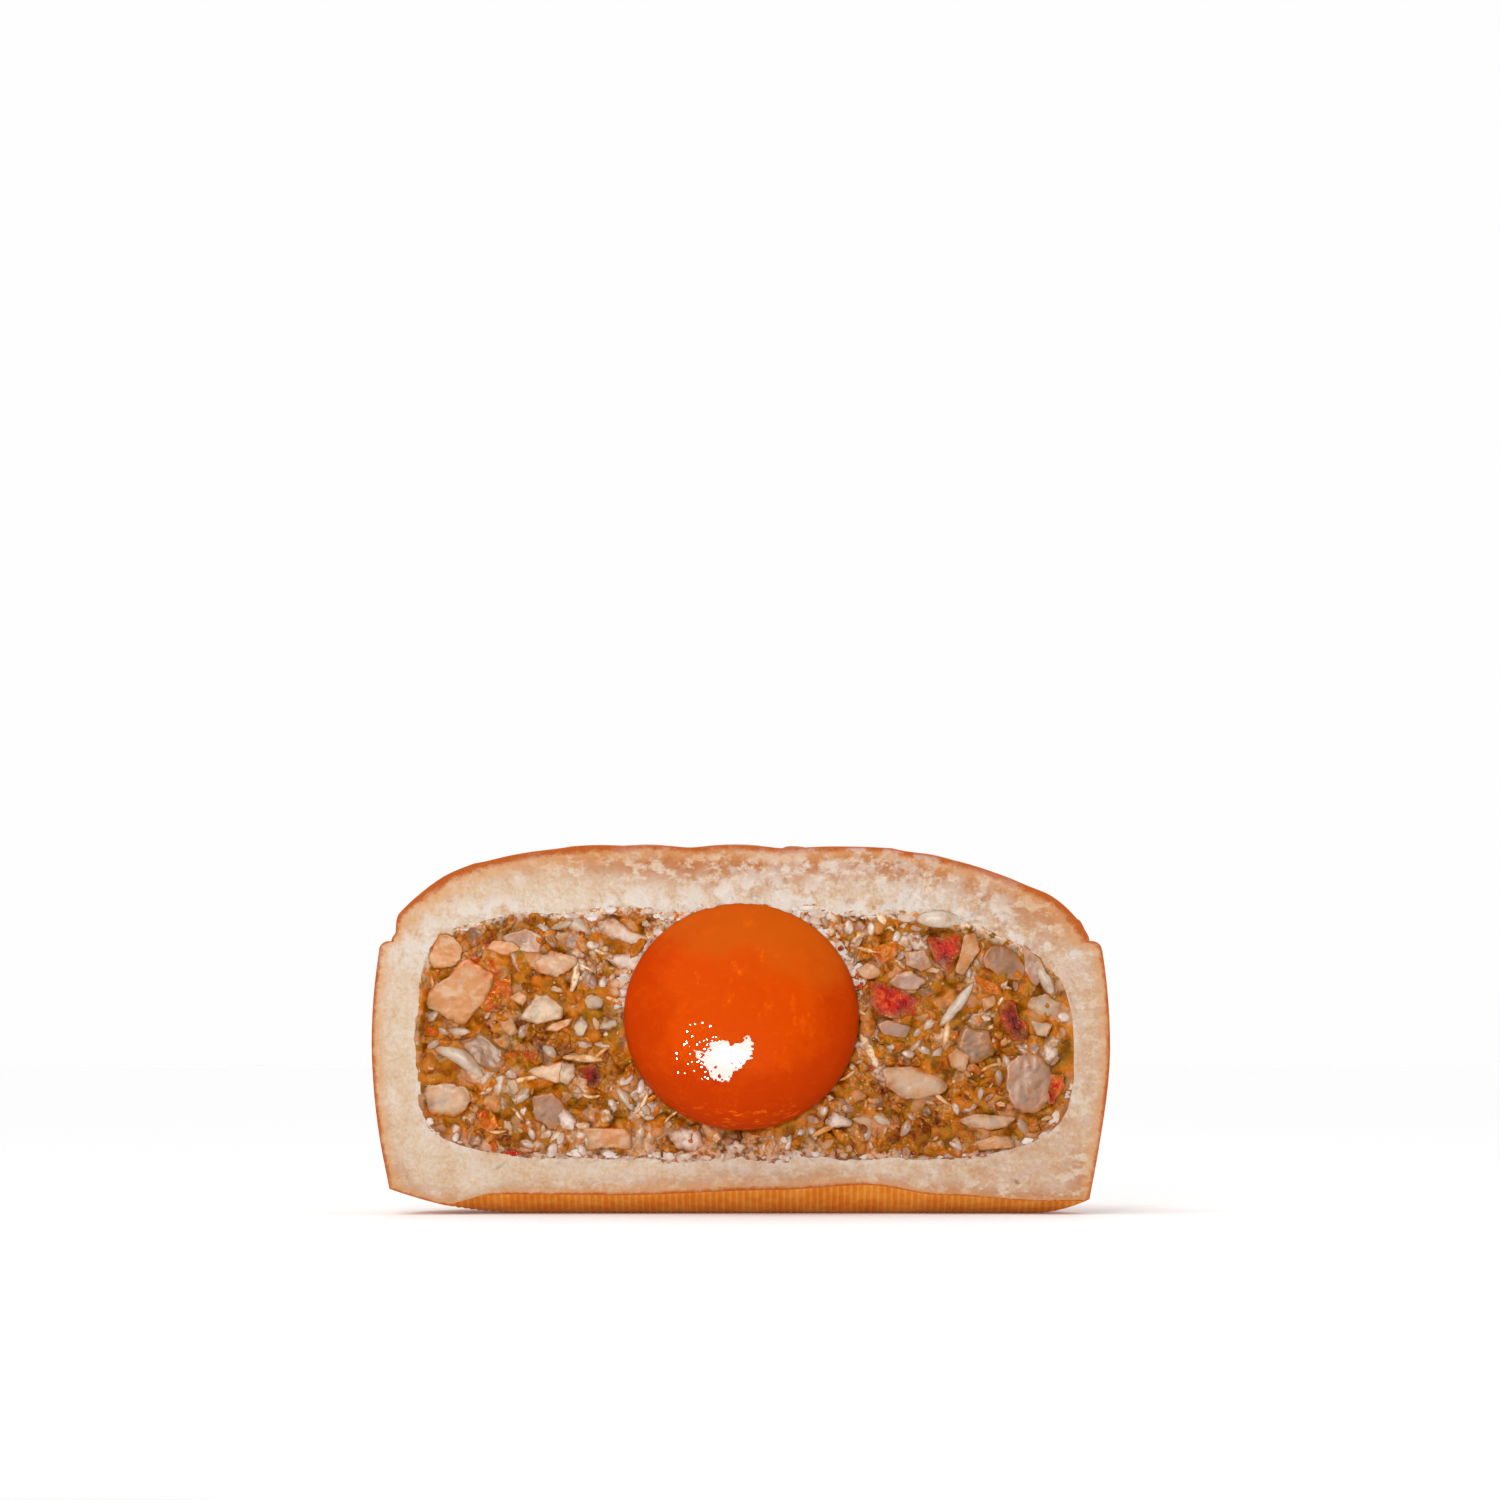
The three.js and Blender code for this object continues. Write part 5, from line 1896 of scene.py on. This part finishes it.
SMALL_CUTTINGS: dict[Stuff, tuple[tuple, ...]] = {
    Stuff.NUT: (
        (((-36, 33.2), (-34.1, 33.3), (-33, 31.9), (-33.3, 30), (-34.6, 29.2), (-36.6, 29.2),
          (-37.2, 30.6)), 0.15, 0.35, 110),
        (((-25.6, 17.2), (-21, 18.2), (-20.6, 16), (-22, 15.6), (-25, 16.6)), 0.4, 0.3, 80),
        (((-21.3, 18.1), (-19.7, 17.9), (-19.6, 16.4), (-20.6, 15.3), (-21.6, 15.8)), 0.85, 0.5),
        (((-18.8, 25.5), (-17.7, 26.3), (-16.2, 25.7), (-16.5, 24.4), (-18.2, 24.4)), 0.75, 0.35),
        (((-27.6, 25.7), (-26.3, 26.6), (-25.2, 26), (-25.9, 24.7)), 0.05, 0.3, 20),
        (((-30.5, 31.6), (-29.5, 32.6), (-27, 32.4), (-25.9, 31.3), (-28.3, 30.8)), 0.0, 0.25, 200),
        (((-28.6, 22.9), (-27.1, 23.2), (-26.4, 21.7), (-27.2, 20.9), (-28.4, 22)), 0.15, 0.3),
        (((-23.4, 21.9), (-22.6, 22.7), (-19.9, 23.4), (-20.1, 22.5), (-22, 21.7)), 0.1, 0.25),
        (((-19.9, 22.6), (-18.9, 23.7), (-18, 22.6), (-18.6, 21.1), (-19.6, 21.2)), 0.8, 0.4),
        (((-19.3, 10.3), (-13.7, 10.4), (-12.7, 8.8), (-13, 7.8), (-18.5, 7.7)), 0.1, 0.15, 90, 0.3),
        (((13.6, 29.1), (15.1, 30), (16.7, 29.3), (16.5, 28.1), (14.8, 27.9)), 0.1, 0.35, 60),
        (((34.3, 25.8), (36.4, 26.2), (38.2, 25.1), (37.8, 23.6), (35.9, 23.5), (34, 24.6)), 0.8, 0.3),
        (((34.4, 23.1), (37.2, 22.6), (36.5, 21.1), (35.2, 21.3)), 0.85, 0.35),
        (((27.9, 8.6), (30.3, 9.4), (32, 9.3), (32.7, 7.9), (28.2, 7.6)), 0.05, 0.2, 90),
        (((24.8, 11.2), (27.9, 11.9), (33, 11.6), (31.6, 10.4), (29.5, 10)), 0.6, 0.3),
        (((24.7, 18.9), (25.8, 19.8), (27.3, 18.7), (26.7, 16.9), (25.2, 17.4)), 0.3, 0.3),
        (((26.6, 33.2), (28, 33.5), (28.6, 31.6), (26.6, 28.4), (25.4, 28.7), (26.2, 31.2)), 0.35, 0.45),
        (((28.6, 25.6), (30.2, 26.1), (30.6, 25), (29, 24)), 0.2, 0.3),
    ),
    Stuff.CANDIED: (
        (((17.6, 27.6), (18.4, 28.6), (20.2, 29), (22.2, 27.8), (20.9, 26.6), (18.8, 26.8)), 0.55, 0.45),
        (((19.4, 31.2), (22, 31.4), (23, 29.6), (21.6, 28.8), (19.6, 29.6)), 0.3, 0.25),
        (((16.1, 22.6), (17.6, 23.1), (20.3, 22.3), (19.7, 20.9), (17, 21.4)), 0.7, 0.35),
        (((33.4, 32.2), (35.6, 30.6), (36.6, 28.6), (35, 26.8), (33.8, 28.8), (33.8, 30.4)), 0.35, 0.2),
        (((-28.6, 33), (-25.6, 34), (-23.4, 33), (-24, 31), (-27, 31.3)), 0.35, 0.2),
        (((-34, 20.6), (-31, 21.8), (-27.6, 19.4), (-28.6, 16.6), (-31.4, 17.6)), 0.05, 0.1, None, 0.6),
        (((26.4, 22.6), (29.6, 22), (30.4, 19), (27.6, 17.6), (25.4, 19.4)), 0.12, 0.1, None, 0.6),
    ),
    Stuff.FRUIT: (
        (((-19.2, 17.2), (-17.2, 18), (-16.2, 16.4), (-17.2, 14.8), (-18.8, 15.4)), 0.1, 0.3),
        (((36.9, 16.7), (38.4, 16.8), (38.6, 15.2), (37.4, 13.6), (36.6, 14.8)), 0.85, 0.5),
        (((-28.8, 7.3), (-27.2, 7.8), (-25.6, 7.4), (-26.8, 6.9)), 0.4, 0.1),
        (((36.4, 14.6), (37.6, 15), (37.4, 13.2), (36.6, 13)), 0.6, 0.4),
    ),
    Stuff.PEEL: (
        (((-32.2, 31.8), (-29, 30.6), (-27.4, 28.6), (-27.2, 25.4), (-28.4, 24.2), (-28.8, 28.6),
          (-31, 30.8)), 0.3, -0.1),
        (((-31.6, 13.4), (-29.8, 12.8), (-28.6, 10.4), (-30.2, 9.8), (-31.4, 11.6)), 0.4, 0.1),
        (((15.2, 31.4), (18.6, 32.8), (18.8, 30.8), (16.4, 29.6)), 0.6, 0.1),
        (((27.6, 28.4), (30.6, 27.4), (31.4, 25.8), (29.2, 26.4)), 0.7, 0.2),
    ),
    Stuff.FLOUR: (
        (((-17.4, 34.5), (-15.2, 35.5), (-13, 33.6), (-10.6, 32.9), (-11.4, 31.8), (-16.1, 32.8)), 0.3, 0.1,
          None, 0.5),
        (((-16.7, 30.8), (-13.2, 31.1), (-11.8, 29.9), (-12, 28.8), (-14.6, 29.3)), 0.6, 0.2, None, 0.4),
        (((-8.8, 9.8), (-7, 10.4), (-4.7, 9.9), (-4.1, 8.2), (-5.8, 7.4), (-7.6, 7.8)), 0.5, 0.3, None,
          0.5),
        (((-21.8, 11.6), (-21, 12.8), (-19.6, 11.4), (-19.8, 10), (-21.2, 10.2)), 0.7, 0.45, None, 0.3),
        (((-1.8, 8), (-0.6, 8.8), (0.7, 8.2), (0.2, 7.2), (-1.4, 7.2)), 0.5, 0.3, None, 0.4),
        (((9.9, 11), (11, 12.2), (13.4, 11.2), (13.2, 10.4), (10.6, 10.3)), 0.7, 0.4, None, 0.4),
    ),
}

CUTTINGS: tuple[Cutting, ...] = tuple(
    Cutting(stuff, *given)
    for table in (NODE_CUTTINGS, SMALL_CUTTINGS) for stuff, rows in table.items() for given in rows
)


@dataclass(frozen=True)
class LargeSeed:
    """A large flat seed that stands for a node: its size, lean in degrees, bend and colour."""

    node: str
    size: Pair
    lean: float
    bend: float
    tint: float

    def build(self) -> Piece:
        """Make the seed where its node is.

        Returns:
            The seed.
        """
        low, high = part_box(self.node)
        middle = (low + high) / 2 / MM
        points, faces = ball(5)
        along = points[:, 0]
        swell = 1 - 0.3 * np.clip(along, 0, 1) ** 1.5
        shaped = points * np.array([self.size[0], (high.y - low.y) / MM * 0.8, self.size[1]]) / 2
        shaped[:, 1:] *= swell[:, None]
        shaped[:, 2] += self.bend * self.size[0] / 2 * (0.4 - along**2)
        shaped[:, [0, 2]] = turned(shaped[:, [0, 2]], math.radians(self.lean))
        placed = shaped - (0, shaped[:, 1].min(), 0) + (middle.x, low.y / MM - CUT_Y, middle.z)
        draft = Draft()
        outer = np.hypot(points[:, 0], points[:, 2])
        edge, glaze = climb(0.72, 0.98, outer), climb(0.8, 1, outer)
        draft.add(placed, faces, tint=self.tint, edge=edge, glaze=glaze)
        return draft.mesh(f"{self.node}_visual", [material(Stuff.SEED)], crease=60)


LARGE_SEEDS: tuple[LargeSeed, ...] = (
    LargeSeed("melon_seed_1", (7.4, 2.1), -33, 0.22, 0.45),
    LargeSeed("melon_seed_2", (6.4, 2.3), -4, 0.06, 0.9),
    LargeSeed("melon_seed_3", (7.0, 1.5), 52, -0.04, 0.75),
    LargeSeed("melon_seed_4", (4.8, 1.6), -62, 0.04, 0.8),
)

SCATTERED: dict[str, Morsel] = {
    "jelly_lumps": Chopped(
        Stuff.JELLY, 270, (2.0, 7.5), (0.4, 0.8), (-0.35, 0.1), 0.2,
        sides=7, bevel=0.3, around=28, fine=6, ragged=0.16, lumpy=2.6,
    ),
    "melon_seeds": Kernel(
        Stuff.SEED, 10, (3.0, 4.6), (0.3, 0.42), (-0.05, 0.25), 0.4, 3, thickness=0.2, tip=0.4,
    ),
    "sesame_seeds": Kernel(Stuff.SESAME, 58, (1.7, 2.3), (0.5, 0.66), (-0.1, 0.3), 0.5, 3),
    "candied_bits": Chopped(
        Stuff.CANDIED, 34, (1.6, 4.2), (0.45, 0.85), (-0.2, 0.2), 0.5,
        bevel=0.14, fine=5, ragged=0.18, lumpy=2.5,
    ),
    "nut_bits": Chopped(
        Stuff.NUT, 44, (1.2, 3.4), (0.35, 0.75), (-0.15, 0.25), 0.55,
        sides=5, bevel=0.1, skinned=0.5, ragged=0.14,
    ),
    "peel_bits": Chopped(
        Stuff.PEEL, 28, (1.2, 3.4), (0.3, 0.6), (-0.2, 0.15), 0.5,
        bevel=0.12, fine=5, ragged=0.18, lumpy=2.5,
    ),
    "fruit_bits": Chopped(Stuff.FRUIT, 8, (0.8, 1.6), (0.5, 0.9), (-0.1, 0.2), 0.6, bevel=0.15, lumpy=2),
    "dark_bits": Chopped(
        Stuff.DARK, 22, (0.8, 2.2), (0.3, 0.6), (-0.2, 0.1), 0.5, bevel=0.15, ragged=0.18, lumpy=2,
    ),
    "flecks": Chopped(
        Stuff.NUT, 70, (0.5, 1.6), (0.3, 0.8), (-0.1, 0.2), 0.4,
        sides=5, bevel=0.12, around=14, fine=1, ragged=0.16,
    ),
    "shreds": Shred(Stuff.SHRED, 26, (2.4, 5.5), (0.12, 0.24), (-0.05, 0.3), 0.2, 3),
}


@dataclass
class Filling:
    """All the pieces of the filling, spread over the cut by seeded draws."""

    form: CakeForm
    yolk: Yolk
    seed: int = 7
    margin: float = 0.35
    tries: int = 80
    small_ones: float = 1.6
    tint_wave: Layer = (0.9, 5, 71)
    tint_luck: float = 0.4
    taken: list[tuple[Array, float]] = field(default_factory=list)
    dust: Morsel = Morsel(Stuff.FLOUR, 385, (0.5, 2.4), (0.45, 0.9), (-0.1, 0.08), level=3)
    dust_small_ones: float = 2.6
    dust_spread: float = 0.42
    dust_top: float = 0.43
    dust_rim: float = 0.7
    dust_turns: tuple[Pair, Pair, Pair] = ((25, 158), (180, 360), (10, 190))

    def is_inside(self, place: Array, reach: float) -> bool:
        """Whether a piece of this reach stays in the hollow and off the yolk.

        Args:
            place: Its middle.
            reach: Half its length.

        Returns:
            Whether it does.
        """
        offset = place - (0, self.form.hollow_middle)
        edge = self.form.hollow(np.array([math.atan2(offset[1], offset[0])]))[0]
        off_yolk = np.hypot(*((place - self.yolk.centre) / (np.array(self.yolk.half) + 0.4 * reach)))
        return np.linalg.norm(offset) < edge - self.margin - 0.55 * reach and off_yolk > 1

    def build_cuttings(self) -> list[tuple[Piece, Cutting]]:
        """Make the pieces that have their own places: one mesh for a node, and one for each other stuff.

        Returns:
            Each piece with its first cutting.
        """
        drafts: dict[str, tuple[Draft, Cutting]] = {}
        for number, cutting in enumerate(CUTTINGS):
            self.taken.append((cutting.middle, 0.8 * cutting.reach))
            name = f"{cutting.node}_visual" if cutting.node else f"{cutting.stuff.value.name}_pieces"
            draft, _ = drafts.setdefault(name, (Draft(), cutting))
            cutting.add_to(draft, number)
        return [
            (draft.mesh(name, [material(cutting.stuff)], crease=50), cutting)
            for name, (draft, cutting) in drafts.items()
        ]

    def build_large_seeds(self) -> list[tuple[Piece, LargeSeed]]:
        """Make the large flat seeds.

        Returns:
            Each piece with its seed.
        """
        for seed in LARGE_SEEDS:
            low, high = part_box(seed.node)
            middle = (low + high) / 2 / MM
            self.taken.append((np.array([middle.x, middle.z]), 0.35 * seed.size[0]))
        return [(seed.build(), seed) for seed in LARGE_SEEDS]

    def is_free(self, place: Array, clear: float, own: list[tuple[Array, float]]) -> bool:
        """Whether a place is clear of the pieces already there, and of others of its kind."""
        others = itertools.chain(self.taken, own)
        return all(np.linalg.norm(place - other) >= clear + reach for other, reach in others)

    def scatter(self, name: str, morsel: Morsel) -> Piece:
        """Make one mesh of all the pieces of a kind.

        Args:
            name: Name of the joined piece.
            morsel: The kind.

        Returns:
            The joined piece.
        """
        draw = np.random.default_rng(self.seed + len(name))
        draft = Draft()
        own: list[tuple[Array, float]] = []
        form = self.form
        low = np.array([-form.hollow_reach[0], form.hollow_middle - form.hollow_below])
        high = np.array([form.hollow_reach[1], form.hollow_middle + form.hollow_above])
        for _ in range(self.tries * morsel.count):
            if len(own) == morsel.count:
                break
            place = draw.uniform(low, high)
            length = lerp(*morsel.length, draw.random() ** self.small_ones)
            clear = morsel.clear * length / 2
            if not (self.is_inside(place, length / 2) and self.is_free(place, clear, own)):
                continue
            own.append((place, clear))
            solid = morsel.solid(length, length * draw.uniform(*morsel.width), draw)
            points = solid.points.copy()
            points[:, [0, 2]] = turned(points[:, [0, 2]], draw.uniform(0, math.tau))
            points += (place[0], -draw.uniform(*morsel.stand), place[1])
            tint = lerp(0.5 + layered(place[None], self.tint_wave)[0], draw.random(), self.tint_luck)
            draft.add(points, solid.faces, tint=np.clip(tint, 0, 1), edge=solid.edge, glaze=solid.glaze)
        if morsel.stuff is not Stuff.JELLY:
            self.taken += own
        return draft.mesh(name, [material(morsel.stuff)], crease=50)

    def build_dust(self) -> Piece:
        """Strew flour crumbs along the edge of the hollow, most at its top, and round the upper yolk.

        Returns:
            The crumbs, as one piece.
        """
        draw = np.random.default_rng(self.seed)
        draft = Draft()
        for _ in range(self.dust.count):
            zone = draw.random()
            turns = self.dust_turns[(zone >= self.dust_top) + (zone >= self.dust_rim)]
            turn = math.radians(draw.uniform(*turns))
            ray = np.array([math.cos(turn), math.sin(turn)])
            slip = draw.normal(0, self.dust_spread)
            if zone < self.dust_rim:
                place = (0, self.form.hollow_middle) + ray * (self.form.hollow(np.array([turn]))[0] + slip)
            else:
                place = self.yolk.centre + ray * (np.array(self.yolk.half) + 0.1 + abs(slip))
            length = lerp(*self.dust.length, draw.random() ** self.dust_small_ones)
            solid = self.dust.solid(length, length * draw.uniform(*self.dust.width), draw)
            points = solid.points + (place[0], -draw.uniform(*self.dust.stand), place[1])
            draft.add(points, solid.faces, tint=draw.random(), edge=0, glaze=0)
        return draft.mesh("flour_dust", [material(Stuff.FLOUR)], crease=60)


# Studio


@dataclass
class Studio:
    """Camera at the photograph's angle, white floor and sky, and soft light."""

    picture_pixels: float = 1500
    metres_per_pixel: float = 0.1191 * MM
    middle_pixel: Pair = (740.5, 1214.0)
    lens: float = 150
    sensor: float = 36
    camera_height: float = 0.021
    floor_size: float = 8
    floor_tones: tuple[int, int] = (251, 254)
    floor_glow: float = 0.06
    sky: Colour = (0.99, 0.99, 0.99, 1.0)
    sky_turn: Pair = (-0.5, 0.1)
    sky_strength: Pair = (0.2, 1.0)
    sun_height: float = 62
    sun_side: float = -40
    aim: Vector = field(default_factory=lambda: Vector((0, 0, 0.02)))

    @staticmethod
    def stand(data: bpy.types.ID, place: Sequence[float], toward: Vector, **settings: float) -> Piece:
        """Put a camera or a lamp in the scene.

        Args:
            data: The camera or the lamp.
            place: Where it stands, in metres.
            toward: Direction that it looks in.
            settings: Its properties.

        Returns:
            The new object.
        """
        for key, value in settings.items():
            setattr(data, key, value)
        made = bpy.data.objects.new(data.name, data)
        made.location = place
        made.rotation_euler = toward.to_track_quat("-Z", "Y").to_euler()
        bpy.context.scene.collection.objects.link(made)
        return made

    def camera(self) -> None:
        """Set the camera so that the cake stands where the photograph shows it."""
        distance = self.lens / self.sensor * self.picture_pixels * self.metres_per_pixel
        half = self.picture_pixels / 2
        x = (half - self.middle_pixel[0]) * self.metres_per_pixel
        z = (self.middle_pixel[1] - half) * self.metres_per_pixel
        bpy.context.scene.camera = self.stand(
            bpy.data.cameras.new("camera"), (x, CUT_Y * MM - distance, self.camera_height),
            Vector((0, distance, z - self.camera_height)),
            lens=self.lens, sensor_width=self.sensor, clip_start=0.01,
        )

    def floor(self) -> None:
        """Lay a large floor that glows a little, so that it is white as far as the horizon."""
        bpy.ops.mesh.primitive_plane_add(size=self.floor_size)
        floor = bpy.context.active_object
        floor.name = "floor"
        graph = Graph("pale_floor")
        tone = graph.ramp(graph.noise(400, 2), (0.3, 0.7), [screen(t, t, t) for t in self.floor_tones])
        glow = {"Emission_Color": (1, 1, 1, 1), "Emission_Strength": self.floor_glow}
        floor.data.materials.append(graph.finish(tone, 0.6, **glow))

    def surroundings(self) -> None:
        """Make a white sky, which is dim on the camera's side."""
        graph = Graph("studio", is_sky=True)
        bpy.context.scene.world = graph.holder
        behind = graph.node("SeparateXYZ", {"Vector": graph.place}).outputs["Y"]
        graph.feed(graph.shader.inputs["Strength"], graph.span(behind, *self.sky_turn, *self.sky_strength))
        graph.feed(graph.shader.inputs["Color"], self.sky)

    def lamps(self) -> None:
        """Add a soft sun high up on the left, and two lamps in front that point at the cake."""
        up, right = math.radians(self.sun_height), math.radians(self.sun_side)
        away = Vector((-math.sin(right) * math.cos(up), math.cos(right) * math.cos(up), -math.sin(up)))
        sun = bpy.data.lights.new("sky_light", "SUN")
        self.stand(sun, (0, 0, 0), away, energy=0.85, angle=math.radians(36))
        front = Vector((-0.06, CUT_Y * MM - 0.43, 0.112))
        self.stand(bpy.data.lights.new("front", "AREA"), front, self.aim - front, energy=0.745, size=0.25)
        spark = Vector((-0.056, CUT_Y * MM - 0.4, 0.106))
        self.stand(bpy.data.lights.new("spark", "AREA"), spark, self.aim - spark, energy=0.5, size=0.03)

    def build(self) -> None:
        """Set up everything but the cake."""
        bpy.context.scene.view_settings.view_transform = "Standard"
        self.camera()
        self.floor()
        self.surroundings()
        self.lamps()


def main() -> None:
    """Build the cake piece by piece, in place of the frame's nodes."""
    logging.basicConfig(level=logging.INFO, format="%(name)s: %(message)s")
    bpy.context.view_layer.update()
    Studio().build()

    def place(piece: Piece, slot: str, *nodes: str) -> None:
        """Let a piece ride on the body and stand for its nodes."""
        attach(piece, BODY)
        if nodes:
            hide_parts(*nodes)
        LOG.info("%s: %d faces", piece.name, len(piece.data.polygons))

    form = CakeForm()
    yolk = Yolk()
    filling = Filling(form, yolk)
    place(Crust(form).build(), "crust", "crust")
    place(Paste(form, yolk).build(), "filling", "filling")
    place(yolk.build(), "yolk", "yolk")
    place(yolk.build_wet_patch(), "yolk")
    for piece, cutting in filling.build_cuttings():
        place(piece, cutting.stuff.value.slot, *([cutting.node] if cutting.node else []))
    for piece, seed in filling.build_large_seeds():
        place(piece, Stuff.SEED.value.slot, seed.node)
    for name, morsel in SCATTERED.items():
        place(filling.scatter(name, morsel), morsel.stuff.value.slot)
    place(filling.build_dust(), Stuff.FLOUR.value.slot)


if __name__ == "__main__":
    main()
